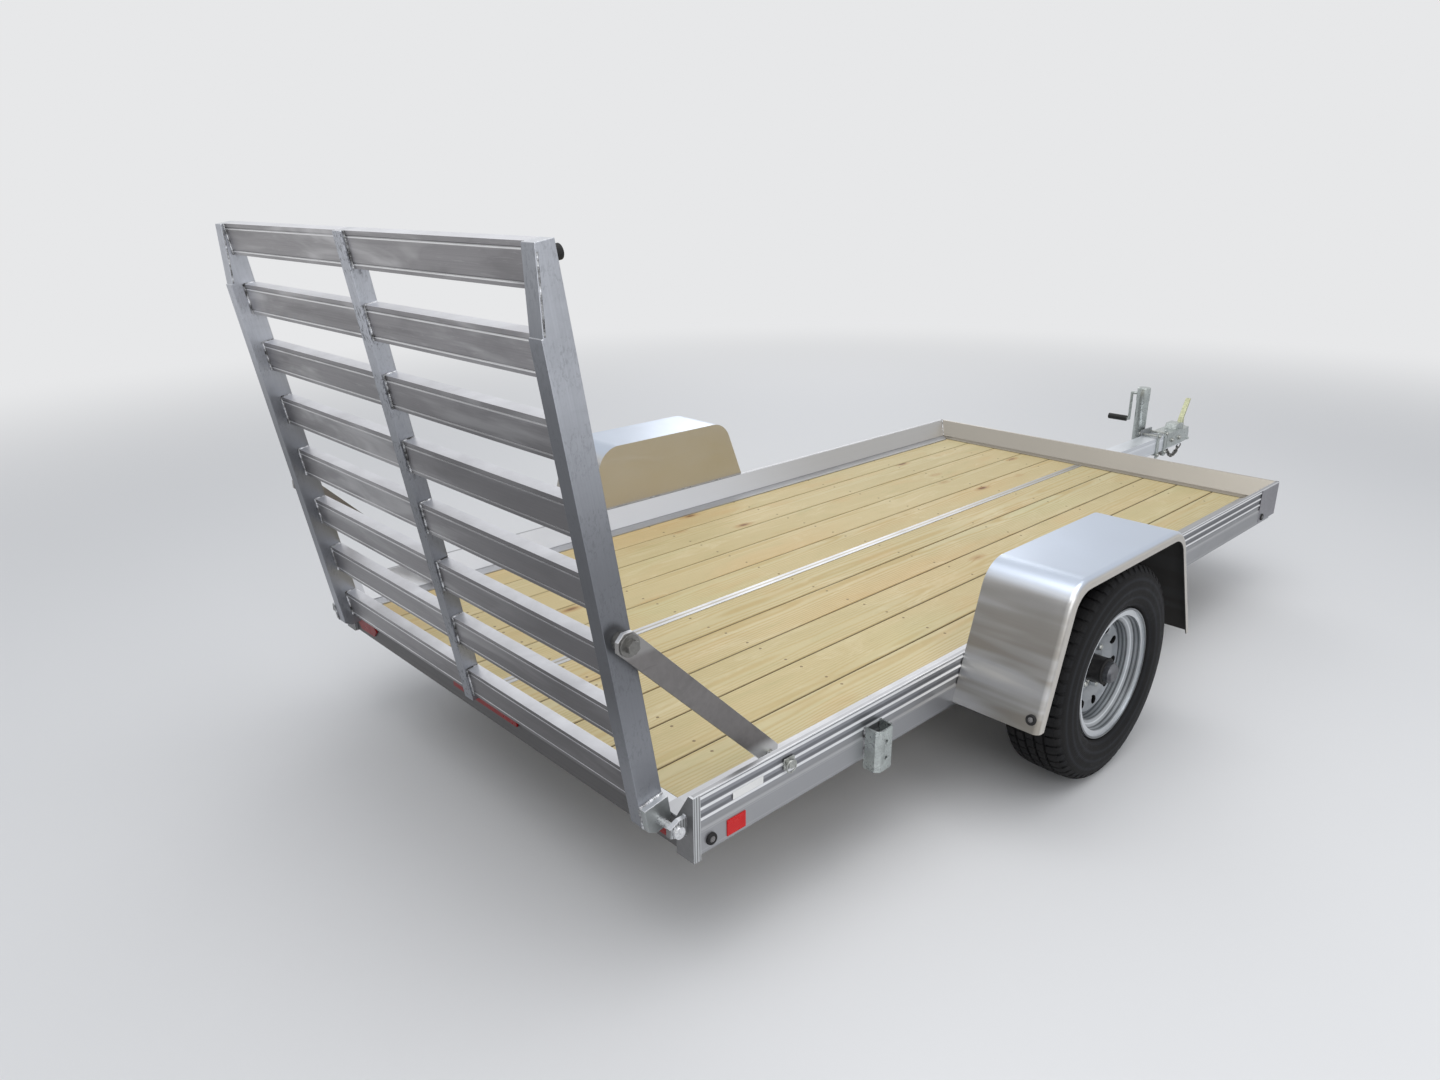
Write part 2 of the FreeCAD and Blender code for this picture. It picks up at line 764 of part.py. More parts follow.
def build_jack():
    face = -(S.tongue_side / 2)
    middle_z = tongue_top_z - S.tongue_side / 2
    plate = extruded("jack_plate", "XZ_Plane", [rectangle(
        face - S.jack_plate, middle_z - S.jack_plate_height / 2, face, middle_z + S.jack_plate_height / 2)],
        jack_y - S.jack_plate_length / 2, jack_y + S.jack_plate_length / 2)
    swivel = rod("jack_swivel", S.jack_radius, S.jack_spacer + S.jack_radius / 2,
                 jack_x + S.jack_radius / 2, jack_y, middle_z, "X")
    hole = rod("jack_seat", S.jack_radius + S.jack_seat_clear, S.jack_plate_length, jack_x, jack_y,
               middle_z - S.jack_plate_length / 2)
    on_bed(keep(minus("jack_mount", joined("jack_bracket", [plate, swivel]), hole), "jack_mount"))

    bore = S.jack_radius - S.jack_wall
    bottom = tongue_top_z - S.jack_below
    shoulder = tongue_top_z + S.jack_above
    head_top = shoulder + S.jack_head
    tube = [
        (bore, bottom), (S.jack_radius, bottom), (S.jack_radius, shoulder),
        (S.jack_head_radius, shoulder), (S.jack_head_radius, head_top - S.jack_wall),
        (S.jack_head_radius - S.jack_wall, head_top), (0, head_top),
        (0, head_top - 2 * S.jack_wall), (bore, head_top - 2 * S.jack_wall),
    ]
    on_bed(keep(revolved("jack_tube", tube, "XZ_Plane", "Z_Axis"), "jack_tube"), jack_x, jack_y)

    leg = bore - S.leg_clear
    foot_top = S.foot_thick + S.foot_socket
    inner = [(leg - S.leg_wall, foot_top), (leg, foot_top), (leg, foot_top + S.leg_length),
             (leg - S.leg_wall, foot_top + S.leg_length)]
    on_bed(keep(revolved("jack_inner_tube", inner, "XZ_Plane", "Z_Axis"), "jack_inner_tube"), jack_x, jack_y)
    half = S.foot_plate / 2
    foot = extruded("jack_foot", "XY_Plane", [rectangle(-half, -half, half, half)], 0, S.foot_thick)
    add(foot, "XY_Plane", [circle(0, 0, leg + S.leg_wall / 2)], S.foot_thick, foot_top)
    round_edges(foot, S.foot_corner,
                lambda edge: runs_along(edge, FreeCAD.Vector(0, 0, 1)) and edge.Length < foot_top.value / 2)
    on_bed(keep(foot, "jack_foot"), jack_x, jack_y)

    shaft_z = head_top - S.jack_head / 2
    shaft_x = jack_x - S.jack_head_radius - S.crank_shaft
    arm_low = shaft_z - S.crank_arm
    shaft = rod("crank_shaft", S.crank_rod, S.crank_shaft, shaft_x, jack_y, shaft_z, "X")
    arm = rod("crank_arm", S.crank_rod, S.crank_arm, shaft_x, jack_y, arm_low)
    knuckles = []
    for name, height in (("upper", shaft_z), ("lower", arm_low)):
        ball = doc.addObject("Part::Sphere", "Crank_bend_" + name)
        bind(ball, "Radius", S.crank_rod)
        place(ball, shaft_x, jack_y, height)
        knuckles.append(ball)
    tail = rod("crank_tail", S.crank_rod, S.crank_rod * 2, shaft_x - S.crank_rod * 2, jack_y, arm_low, "X")
    on_bed(keep(joined("jack_crank", [shaft, arm, tail] + knuckles), "jack_crank"))
    keep(rod("jack_grip", S.grip_radius, S.grip_length, shaft_x - S.crank_rod * 2 - S.grip_length,
             S.rear_end_y + jack_y, arm_low, "X"), "jack_grip")


# Axle and wheels

# Shares of the torsion arm's end radius: its spindle end, and the corners of both ends
ARM_TAPER = 0.8
ARM_ROOT_CORNER = 0.6
ARM_TIP_CORNER = 0.7

axle_station = S.wheel_station + S.axle_lead
axle_z = S.rail_bottom_z - S.axle_drop
arm_inner = half_bed + S.arm_rail_gap


def build_axle():
    half = S.axle_side / 2
    outer = rectangle(axle_station - half, axle_z - half, axle_station + half, axle_z + half)
    inner = rectangle(axle_station - half + S.axle_wall, axle_z - half + S.axle_wall,
                      axle_station + half - S.axle_wall, axle_z + half - S.axle_wall)
    on_bed(keep(extruded("axle_tube", "YZ_Plane", [outer, inner], -arm_inner, arm_inner), "axle_tube"))

    brackets = []
    arms = []
    for side, sign in SIDES:
        far = half_bed - S.rail_skirt_inset
        near = far - S.bracket_width
        ends = (near, far) if sign > 0 else (-far, -near)
        block = [
            (axle_station - half, axle_z + half), (axle_station + half, axle_z + half),
            (axle_station + S.bracket_length / 2, S.rail_bottom_z),
            (axle_station - S.bracket_length / 2, S.rail_bottom_z),
        ]
        brackets.append(extruded("axle_bracket_" + side, "YZ_Plane", [block], *ends))

        rise = S.wheel_radius - axle_z
        run = axle_station - S.wheel_station
        span = length_of(run, rise)
        r = S.arm_end_radius
        taper = r * ARM_TAPER
        root = r * ARM_ROOT_CORNER
        tip = taper * ARM_TIP_CORNER
        web = [
            (-taper, -root), (0, -r), (span, -taper), (span + tip, -tip), (span + taper, 0),
            (span + tip, tip), (span, taper), (0, r), (-taper, root),
        ]
        start = 0 if sign > 0 else -S.arm_thick
        end = S.arm_thick if sign > 0 else 0
        arm = extruded("torsion_arm_body_" + side, "YZ_Plane", [web], start, end)
        reach = wheel_plane - arm_inner - 2 * S.disc_thick
        pin = (S.arm_thick, reach) if sign > 0 else (-reach, -S.arm_thick)
        add(arm, "YZ_Plane", [circle(span, 0, S.spindle_radius)], *pin)
        place(arm, sign * arm_inner, axle_station, axle_z, X_AXIS, heading(rise, -run))
        arms.append(arm)
    together("axle_brackets", brackets)
    together("torsion_arms", arms)


def tyre_outline():
    """Half section mirrored: bead toe, flange seat, sidewall, shoulder and tread."""
    wide = S.tyre_half_width
    wall = S.tyre_wall
    tread = S.wheel_radius
    lip = S.rim_lip_radius
    seat = S.bead_radius + S.run_clear
    flange = S.rim_half_width - S.rim_flange - S.run_clear
    outside = [
        (flange - S.bead_length, seat), (flange, seat), (flange, lip), (wide - wall, lip + S.rim_flange),
        (wide, lip + S.sidewall_above_rim), (wide, tread - S.sidewall_below_tread),
        (wide - S.shoulder_inset, tread - S.shoulder_fall),
        (S.tread_half_width, tread - S.tread_edge_fall),
        (S.tread_half_width - S.tread_round, tread - S.tread_fall),
    ]
    crown = [(0, tread)]
    inside = [
        (0, tread - S.tread_thick),
        (S.tread_half_width - wall, tread - S.tread_thick - S.tread_edge_fall / 2),
        (wide - S.shoulder_inset - wall, tread - S.shoulder_fall - S.shoulder_inset),
        (wide - wall, tread - S.sidewall_below_tread), (wide - wall, lip + S.sidewall_above_rim),
        (flange - wall, lip),
    ]
    mirrored_out = [(-u, v) for u, v in reversed(outside)]
    mirrored_in = [(-u, v) for u, v in reversed(inside[1:])]
    return outside + crown + mirrored_out + mirrored_in + inside


def rim_outline():
    """Thin rolled section: outer flange, bead seat, drop centre, and the same mirrored."""
    wide = S.rim_half_width
    wall = S.rim_wall
    lip = S.rim_lip_radius
    seat = S.bead_radius
    inner_end = wide - S.rim_flange - S.bead_seat_length
    low = seat - S.bead_seat_fall
    drop = seat - S.rim_drop
    lean = wall / 2
    tyre_side = [(wide, lip), (wide - S.rim_flange, lip), (wide - S.rim_flange, seat),
                 (inner_end, low), (inner_end - S.drop_slope, drop)]
    air_side = [(wide, lip - S.rim_curl), (wide - S.rim_flange + wall, lip - S.rim_curl),
                (wide - S.rim_flange + wall, seat - wall), (inner_end + lean, low - wall),
                (inner_end - S.drop_slope + lean, drop - wall)]
    mirrored_tyre = [(-u, v) for u, v in reversed(tyre_side)]
    mirrored_air = [(-u, v) for u, v in air_side]
    return tyre_side + mirrored_tyre + mirrored_air + list(reversed(air_side))


def disc_outline(sign):
    """Dished centre disc from the hub seat out to the drop centre."""
    thick = S.disc_thick
    edge = S.bead_radius - S.rim_drop - S.rim_wall
    face = [(0, S.hub_radius + S.disc_clear), (0, S.disc_seat_radius), (S.disc_bowl, S.disc_bowl_radius),
            (S.disc_crown, S.disc_crown_radius), (S.disc_rim_offset, edge)]
    back = [(u - thick, v) for u, v in reversed(face)]
    return [(sign * u, v) for u, v in face + back]


def build_wheel(side, sign):
    def at_wheel(thing):
        return place(thing, sign * wheel_plane, S.rear_end_y + S.wheel_station, S.wheel_radius)

    at_wheel(keep(revolved("tyre_" + side, tyre_outline()), "tyre_" + side))

    barrel = revolved("rim_barrel_" + side, rim_outline())
    disc = revolved("rim_disc_" + side, disc_outline(sign))
    vent_reach = S.disc_crown + S.disc_thick
    hole = circle(sine(S.vent_turn) * S.vent_circle, cosine(S.vent_turn) * S.vent_circle, S.vent_radius)
    vent = cut(disc, "YZ_Plane", [hole], -vent_reach, vent_reach)
    pattern = disc.newObject("PartDesign::PolarPattern", "Vents")
    pattern.Originals = [vent]
    pattern.Axis = (origin_feature(disc, "X_Axis"), [""])
    pattern.Angle = 360
    bind(pattern, "Occurrences", S.vent_count)
    disc.Tip = pattern
    at_wheel(keep(joined("rim_" + side, [barrel, disc]), "rim_" + side))

    thick = S.disc_thick
    back = wheel_plane - arm_inner - S.arm_thick - S.hub_clear
    bore = S.spindle_radius + S.spindle_clear
    nose = S.hub_radius
    tip = S.hub_nose
    cap = S.cap_radius
    collar = nose + S.hub_collar
    flange = S.nut_circle + S.hub_flange_margin
    end = tip + S.cap_height
    outline = [
        (-back, bore), (-back, collar), (-thick - S.hub_flange, collar), (-thick - S.hub_flange, flange),
        (-thick, flange), (-thick, nose), (tip, nose), (tip, cap), (end - S.cap_round, cap),
        (end, cap - S.cap_round), (end, 0), (-thick, 0), (-thick, bore),
    ]
    hub = revolved("hub_body_" + side, [(sign * u, v) for u, v in outline])
    nuts = []
    for index in range(int(S.nut_count.value)):
        nut = doc.addObject("Part::Prism", "Nut_%s_%d" % (side, index + 1))
        nut.Polygon = 6
        bind(nut, "Circumradius", S.nut_radius)
        bind(nut, "Height", S.nut_length)
        angle = index * 360 / S.nut_count
        place(nut, 0 if sign > 0 else -S.nut_length, cosine(angle) * S.nut_circle,
              sine(angle) * S.nut_circle, Y_AXIS, 90)
        nuts.append(nut)
    together("hub_" + side, [hub] + nuts, at_wheel)


# Fenders

fender_top_z = 2 * S.wheel_radius + S.fender_tyre_gap


def fender_outline(inset, dip=0):
    """The fender's side view, every edge moved in by inset and its feet lowered by dip."""
    tall = fender_top_z - S.fender_bottom_z
    rear_lean = (S.fender_rear_foot - S.fender_rear_top) / tall
    front_lean = (S.fender_front_top - S.fender_front_foot) / tall
    rear_step = length_of(rear_lean, 1) * inset
    front_step = length_of(front_lean, 1) * inset

    def rear(height):
        return S.wheel_station - S.fender_rear_foot + rear_lean * height + rear_step

    def front(height):
        return S.wheel_station + S.fender_front_foot + front_lean * height - front_step

    top = tall - inset
    return [
        (rear(-as_size(dip)), S.fender_bottom_z - dip), (rear(top), S.fender_bottom_z + top),
        (front(top), S.fender_bottom_z + top), (front(-as_size(dip)), S.fender_bottom_z - dip),
    ]


def fender_block(label, inset, near, far, sign, dip=0, bend=None):
    """A prism of the fender's outline with rounded top corners, and its outer face's edge bent by bend."""
    ends = (near, far) if sign > 0 else (-as_size(far), -as_size(near))
    body = extruded(label, "YZ_Plane", [fender_outline(inset, dip)], *ends)
    top = as_size(fender_top_z - inset).value

    def top_corner(edge):
        return runs_along(edge, X_AXIS) and abs(edge.CenterOfMass.z - top) < 0.01

    round_edges(body, S.fender_corner - inset, top_corner)
    if bend is not None:
        plane = sign * as_size(far).value
        foot = (S.fender_bottom_z - dip).value

        def face_edge(edge):
            box = edge.BoundBox
            return abs(box.XMin - plane) + abs(box.XMax - plane) < 0.01 and box.ZMax > foot + 0.01

        round_edges(body, bend, face_edge)
    return body


def build_fenders():
    inner = half_bed + S.fender_sheet
    outer = half_bed + S.fender_width
    for side, sign in SIDES:
        plate = fender_block("fender_backplate_" + side, 0, half_bed, inner, sign)
        on_bed(keep(plate, "fender_backplate_" + side))
        shell = fender_block("fender_shell_" + side, 0, inner, outer, sign, 0, S.fender_bend)
        hollow = fender_block("fender_hollow_" + side, S.fender_sheet, half_bed, outer - S.fender_sheet,
                              sign, S.fender_sheet, S.fender_bend - S.fender_sheet)
        mouth = fender_block("fender_mouth_" + side, S.fender_lip, half_bed, outer + S.fender_sheet,
                             sign, S.fender_sheet)
        fender = minus("fender_" + side, shell, joined("fender_space_" + side, [hollow, mouth]))
        on_bed(keep(fender, "fender_" + side))


# Fittings on the rails and the sill

def build_stake_pockets():
    pockets = []
    for side, sign in SIDES:
        near = S.pocket_station - S.pocket_length / 2
        far = S.pocket_station + S.pocket_length / 2
        face = half_bed
        tip = half_bed + S.pocket_reach
        low = S.rail_bottom_z - S.pocket_drop
        c = S.pocket_corner
        w = S.pocket_wall
        loop = [
            (face, near), (tip - c, near), (tip, near + c), (tip, far - c), (tip - c, far), (face, far),
            (face, far - w), (tip - c, far - w), (tip - w, far - c), (tip - w, near + c),
            (tip - c, near + w), (face, near + w),
        ]
        pocket = extruded("stake_pocket_" + side, "XY_Plane", [[(sign * u, v) for u, v in loop]],
                          low, low + S.pocket_height)
        hole = [circle(S.pocket_station, low + rise, S.pocket_wall)
                for rise in (S.pocket_hole_inset, S.pocket_height - S.pocket_hole_inset)]
        ends = (face + c, tip + w) if sign > 0 else (-tip - w, -face - c)
        cut(pocket, "YZ_Plane", hole, *ends)
        pockets.append(pocket)
    together("stake_pockets", pockets)


def build_lamps():
    low = S.rail_bottom_z + S.reflector_rise
    tail_z = S.rail_bottom_z + S.tail_lamp_rise
    lamps = []
    reflectors = []
    tails = []
    for side, sign in SIDES:
        for name, station in (("rear", S.rear_lamp_station), ("front", S.bed_length - S.front_lamp_inset)):
            start = half_bed if sign > 0 else -half_bed - S.lamp_proud
            lamps.append(rod("marker_lamp_%s_%s" % (name, side), S.lamp_radius, S.lamp_proud,
                             start, station, S.rail_bottom_z + S.lamp_rise, "X"))
        ends = (half_bed, half_bed + S.reflector_proud)
        if sign < 0:
            ends = (-ends[1], -ends[0])
        face = rectangle(S.reflector_station, low, S.reflector_station + S.reflector_length,
                         low + S.reflector_height)
        reflectors.append(extruded("side_reflector_" + side, "YZ_Plane", [face], *ends))
        half = S.tail_lamp_height / 2
        far = rail_inside - S.tail_lamp_inset
        near = far - S.tail_lamp_length
        lens = [(near + half, tail_z - half), (far - half, tail_z - half), (far, tail_z),
                (far - half, tail_z + half), (near + half, tail_z + half), (near, tail_z)]
        tails.append(extruded("tail_lamp_" + side, "XZ_Plane", [[(sign * u, v) for u, v in lens]],
                              S.sill_rear - S.tail_lamp_proud, S.sill_rear))
    together("marker_lamps", lamps)
    together("side_reflectors", reflectors)
    half = S.id_bar_length / 2
    bar = rectangle(-half, tail_z, half, tail_z + S.id_bar_height)
    tails.append(extruded("id_lamp_bar", "XZ_Plane", [bar], S.sill_rear - S.tail_lamp_proud, S.sill_rear))
    together("rear_lamps", tails)


def build_hinge_ears():
    ears = []
    half = S.ear_height / 2
    rear = S.hinge_station - S.ear_rear
    for side, sign in SIDES:
        neck = S.hinge_station + S.ear_neck
        outline = [
            (0, hinge_z - half), (0, hinge_z + half), (neck, hinge_z + half),
            (rear, hinge_z + half / 2), (rear, hinge_z - half / 2), (neck, hinge_z - half),
        ]
        hole = circle(S.hinge_station, hinge_z, S.hinge_pin_radius + S.hinge_pin_clear)
        ends = (ear_inner, ear_inner + S.ear_thick)
        if sign < 0:
            ends = (-ends[1], -ends[0])
        ears.append(extruded("hinge_ear_" + side, "YZ_Plane", [outline, hole], *ends))
    together("hinge_ears", ears)


def build_pull_pins():
    """Spring pins through the side rails, drawn back so that the braces are free."""
    pins = []
    for side, sign in SIDES:
        tip = brace_inner + S.brace_thick + S.run_clear
        head = half_bed + S.rail_pin_head
        start = tip if sign > 0 else -head
        shank = rod("pull_pin_shank_" + side, S.rail_pin_radius, head - tip, start, S.rail_pin_station,
                    rail_pin_z, "X")
        collar = rod("pull_pin_head_" + side, S.rail_pin_collar, S.rail_pin_head,
                     half_bed if sign > 0 else -head, S.rail_pin_station, rail_pin_z, "X")
        pins.append(joined("pull_pin_" + side, [shank, collar]))
    together("brace_pull_pins", pins)


def drill_rails_for_pins():
    """Clear holes in both rails for the pull pins, cut before the rails are measured."""
    for side, sign in SIDES:
        rail = next(one for one in nodes if one.Label == "rail_" + side)
        hole = circle(S.rail_pin_station, rail_pin_z, S.rail_pin_radius + S.pivot_clear)
        ends = (half_bed - S.rail_foot - S.rail_wall, half_bed + S.rail_wall)
        if sign < 0:
            ends = (-ends[1], -ends[0])
        cut(rail, "YZ_Plane", [hole], *ends)


# Gate, in its own frame with the origin on the hinge axis

gate_rear = S.gate_front - S.upright_depth
wedge_foot = S.gate_top - S.wedge_length


def foot_outline():
    """Lower end of the uprights and the hinge blocks, kept near the axis so that the gate can fold."""
    return [
        (S.gate_front, -S.gate_toe_fall), (S.gate_front - S.gate_toe_ease, -S.gate_foot_fall),
        (gate_rear + S.gate_heel_ease, -S.gate_foot_fall), (gate_rear, -S.gate_heel_fall),
    ]


def upright_outline():
    return foot_outline() + [
        (gate_rear, wedge_foot), (gate_rear + S.wedge_ledge, wedge_foot),
        (S.gate_front - S.wedge_depth, S.gate_top), (S.gate_front, S.gate_top),
    ]


def build_gate_uprights():
    wall = S.upright_wall
    for name, start in (("left", -gate_half), ("right", gate_half - S.upright_width)):
        end = start + S.upright_width
        upright = extruded("gate_upright_" + name, "YZ_Plane", [upright_outline()], start, end)
        space = [
            (S.gate_front - wall, 0), (S.gate_front - wall, S.gate_top - wall),
            (S.gate_front - S.wedge_depth + wall, S.gate_top - wall),
            (gate_rear + S.wedge_ledge + wall, wedge_foot), (gate_rear + wall, wedge_foot - wall),
            (gate_rear + wall, 0),
        ]
        cut(upright, "YZ_Plane", [space], start + wall, end - wall)
        on_gate(keep(upright, "gate_upright_" + name))
    half = S.upright_width / 2
    rear = S.gate_front - S.middle_depth
    middle = extruded("gate_upright_middle", "YZ_Plane",
                      [rectangle(rear, -S.gate_toe_fall, S.gate_front, S.gate_top)], -half, half)
    cut(middle, "YZ_Plane", [rectangle(rear + wall, 0, S.gate_front - wall, S.gate_top - wall)],
        wall - half, half - wall)
    on_gate(keep(middle, "gate_upright_middle"))


def slat_outline(middle):
    """One slat across the gate: a tube with two grooves along its rear face."""
    low = middle - S.slat_height / 2
    high = middle + S.slat_height / 2
    rear = S.gate_front - S.slat_depth
    deep = rear + S.slat_groove_depth
    outline = [(S.gate_front, low), (S.gate_front, high), (rear, high)]
    for edge in (high - S.slat_groove_edge, low + S.slat_groove_edge + S.slat_groove):
        outline += [(rear, edge), (deep, edge), (deep, edge - S.slat_groove), (rear, edge - S.slat_groove)]
    outline.append((rear, low))
    wall = S.slat_wall
    inner = rectangle(rear + wall + S.slat_groove_depth, low + wall, S.gate_front - wall, high - wall)
    return [outline, inner]


def build_gate_slats():
    slats = []
    near = S.upright_width / 2
    far = gate_half - S.upright_width
    for index in range(int(S.slat_count.value)):
        middle = S.gate_top - S.slat_height / 2 - S.slat_pitch * index
        for side, sign in SIDES:
            ends = (near, far) if sign > 0 else (-far, -near)
            slats.append(extruded("gate_slat_%d_%s" % (index + 1, side), "YZ_Plane",
                                  slat_outline(middle), *ends))
    together("gate_slats", slats, on_gate)


def build_gate_fittings():
    blocks = []
    pins = []
    bolts = []
    bumpers = []
    block_far = gate_half + S.block_thick
    pin_far = ear_inner + S.ear_thick + S.run_clear
    brace_far = brace_inner + S.brace_thick + S.run_clear
    for side, sign in SIDES:
        outline = foot_outline() + [(gate_rear, S.block_height), (S.gate_front, S.block_height)]
        ends = (gate_half, block_far) if sign > 0 else (-block_far, -gate_half)
        blocks.append(extruded("gate_hinge_block_" + side, "YZ_Plane", [outline], *ends))

        start = block_far if sign > 0 else -pin_far - S.pin_head
        shank = rod("hinge_pin_shank_" + side, S.hinge_pin_radius, pin_far + S.pin_head - block_far,
                    start, 0, 0, "X")
        head = rod("hinge_pin_head_" + side, S.pin_head_radius, S.pin_head,
                   pin_far if sign > 0 else -pin_far - S.pin_head, 0, 0, "X")
        pins.append(joined("hinge_pin_" + side, [shank, head]))

        def along_x(label, radius, near, far):
            return rod(label + side, radius, far - near, near if sign > 0 else -far,
                       S.pivot_across, S.pivot_along, "X")

        tip = brace_far + S.washer_thick + S.pivot_nut
        nut = doc.addObject("Part::Prism", "Pivot_nut_" + side)
        nut.Polygon = 6
        bind(nut, "Circumradius", S.pivot_nut_radius)
        bind(nut, "Height", S.pivot_nut)
        place(nut, tip - S.pivot_nut if sign > 0 else -tip, S.pivot_across, S.pivot_along, Y_AXIS, 90)
        bolts.append(joined("brace_bolt_" + side, [
            along_x("brace_spacer_", S.spacer_radius, gate_half, brace_inner - S.run_clear),
            along_x("brace_shank_", S.pivot_radius, gate_half, tip),
            along_x("brace_washer_", S.washer_radius, brace_far, brace_far + S.washer_thick),
            nut,
        ]))
        bumpers.append(rod("gate_bumper_" + side, S.bumper_radius, S.bumper_height,
                           sign * (gate_half - S.upright_width / 2), S.gate_front,
                           S.gate_top - S.bumper_inset, "Y"))
    together("gate_hinge_blocks", blocks, on_gate)
    together("gate_hinge_pins", pins, on_gate)
    together("gate_brace_bolts", bolts, on_gate)
    together("gate_bumpers", bumpers, on_gate)


# Corner cut of the braces as a share of their half width
BRACE_EASE = 0.6


def build_braces():
    """Flat bars from the gate's uprights down to the pull pins, each in a frame at its top pivot."""
    lean = S.gate_lean_angle
    top_y = S.hinge_station + S.pivot_across * cosine(lean) - S.pivot_along * sine(lean)
    top_z = hinge_z + S.pivot_across * sine(lean) + S.pivot_along * cosine(lean)
    fall = rail_pin_z - top_z
    run = S.rail_pin_station - top_y
    span = length_of(run, fall)
    half = S.brace_width / 2
    ease = half * BRACE_EASE
    for side, sign in SIDES:
        outline = [
            (-half, -half + ease), (-half + ease, -half), (span + half - ease, -half),
            (span + half, -half + ease), (span + half, half - ease), (span + half - ease, half),
            (-half + ease, half), (-half, half - ease),
        ]
        holes = [circle(0, 0, S.pivot_radius + S.pivot_clear),
                 circle(span, 0, S.rail_pin_radius + S.pivot_clear)]
        ends = (brace_inner, brace_inner + S.brace_thick)
        if sign < 0:
            ends = (-ends[1], -ends[0])
        bar = extruded("brace_" + side, "YZ_Plane", [outline] + holes, *ends)
        keep(bar, "brace_" + side)
        place(bar, 0, S.rear_end_y + top_y, top_z, X_AXIS, heading(fall, run))


def check_document():
    """Stop on any object that failed to build or any sub-part without a sound shape."""
    doc.recompute()
    for thing in doc.Objects:
        if "Invalid" in thing.State or "Error" in thing.State:
            raise RuntimeError("%s failed: %s" % (thing.Label, thing.State))
    for thing in nodes:
        if thing.Shape.isNull() or not thing.Shape.isValid():
            raise RuntimeError("%s has no sound shape" % thing.Label)


def export_nodes():
    for thing in nodes:
        thing.Shape.exportStep("parts/%s.step" % thing.Label)


build_rails()
drill_rails_for_pins()
build_rail_end_caps()
build_rear_sill()
build_crossmembers()
build_deck()
build_tongue()
build_coupler()
build_jack()
build_axle()
for wheel_side, wheel_sign in SIDES:
    build_wheel(wheel_side, wheel_sign)
build_fenders()
build_stake_pockets()
build_lamps()
build_hinge_ears()
build_pull_pins()
build_gate_uprights()
build_gate_slats()
build_gate_fittings()
build_braces()
check_document()
export_nodes()
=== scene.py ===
"""Looks of the utility trailer: materials, small pieces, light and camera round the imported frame."""
import bisect
import math
import random
from functools import partialmethod

import bpy
from mathutils import Matrix, Vector


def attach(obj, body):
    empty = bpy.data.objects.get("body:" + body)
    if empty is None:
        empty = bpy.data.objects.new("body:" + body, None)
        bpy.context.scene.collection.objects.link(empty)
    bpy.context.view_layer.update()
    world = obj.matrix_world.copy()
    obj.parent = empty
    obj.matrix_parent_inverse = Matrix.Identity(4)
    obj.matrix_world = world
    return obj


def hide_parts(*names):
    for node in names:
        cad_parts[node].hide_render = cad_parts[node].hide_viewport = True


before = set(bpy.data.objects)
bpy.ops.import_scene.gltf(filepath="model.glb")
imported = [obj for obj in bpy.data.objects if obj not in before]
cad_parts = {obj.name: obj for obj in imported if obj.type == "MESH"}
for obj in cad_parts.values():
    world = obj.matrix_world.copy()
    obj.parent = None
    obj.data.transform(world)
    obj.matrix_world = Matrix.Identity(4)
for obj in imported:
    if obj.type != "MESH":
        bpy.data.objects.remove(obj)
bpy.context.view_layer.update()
random.seed(7)

# Places and sizes in metres; a station is a distance along the bed from its rear end
REAR = -1.9557
BED_LENGTH = 3.1
FRONT = REAR + BED_LENGTH
HALF_BED = 0.79
DECK_TOP = 0.359
BOARD_PITCH = 0.1428
RAIL_LOW = 0.28
RAIL_TOP = 0.43
LEAN = math.radians(9.36)
GATE_TURN = (-LEAN, 0, 0)
HINGE = Vector((0, REAR - 0.026, 0.362))
GATE_TOP = 1.116
SLAT_PITCH = 0.148
SLAT_HEIGHT = 0.075
TONGUE_END = BED_LENGTH + 0.9
TONGUE_TOP = 0.368
TONGUE_HALF = 0.038
TONGUE_LOW = TONGUE_TOP - 2 * TONGUE_HALF
WHEEL_X = 0.93
WHEEL_Y = REAR + 1.317
WHEEL_Z = 0.305
VENT_CIRCLE = 0.107
BEAD = 0.003
SIDES = (("left", -1), ("right", 1))


# Camera

def placed(name, data):
    """A new object in the scene."""
    made = bpy.data.objects.new(name, data)
    bpy.context.scene.collection.objects.link(made)
    return made


def build_camera():
    """The photograph's place, direction and roll, solved from the straight edges it shows."""
    data = bpy.data.cameras.new("camera")
    data.lens = 24.865
    data.sensor_width = 36
    camera = placed("camera", data)
    bpy.context.scene.camera = camera
    turn, down, roll = math.radians(46.767), math.radians(19.537), math.radians(-0.456)
    camera.matrix_world = (Matrix.Translation((2.0195, -3.0326, 1.5375)) @ Matrix.Rotation(turn, 4, "Z")
                           @ Matrix.Rotation(math.pi / 2 - down, 4, "X") @ Matrix.Rotation(roll, 4, "Z"))


# Materials

def rgb(red, green, blue):
    """Colour as read from a screen, 0 to 255, as linear light."""
    def linear(part):
        part = part / 255
        return part / 12.92 if part <= 0.04045 else ((part + 0.055) / 1.055) ** 2.4
    return (linear(red), linear(green), linear(blue), 1)


def operator(operation):
    """A method that puts a math node after the signal."""
    return lambda signal, *others: signal.graph.math(operation, signal, *others)


class Signal:
    """A node socket with arithmetic."""

    __abs__ = operator("ABSOLUTE")
    __add__ = __radd__ = operator("ADD")
    __sub__ = operator("SUBTRACT")
    __mul__ = __rmul__ = operator("MULTIPLY")
    __truediv__ = operator("DIVIDE")
    __gt__ = operator("GREATER_THAN")
    __lt__ = operator("LESS_THAN")

    def __init__(self, graph, socket):
        self.graph = graph
        self.socket = socket

    def __rsub__(self, other):
        return self.graph.math("SUBTRACT", other, self)


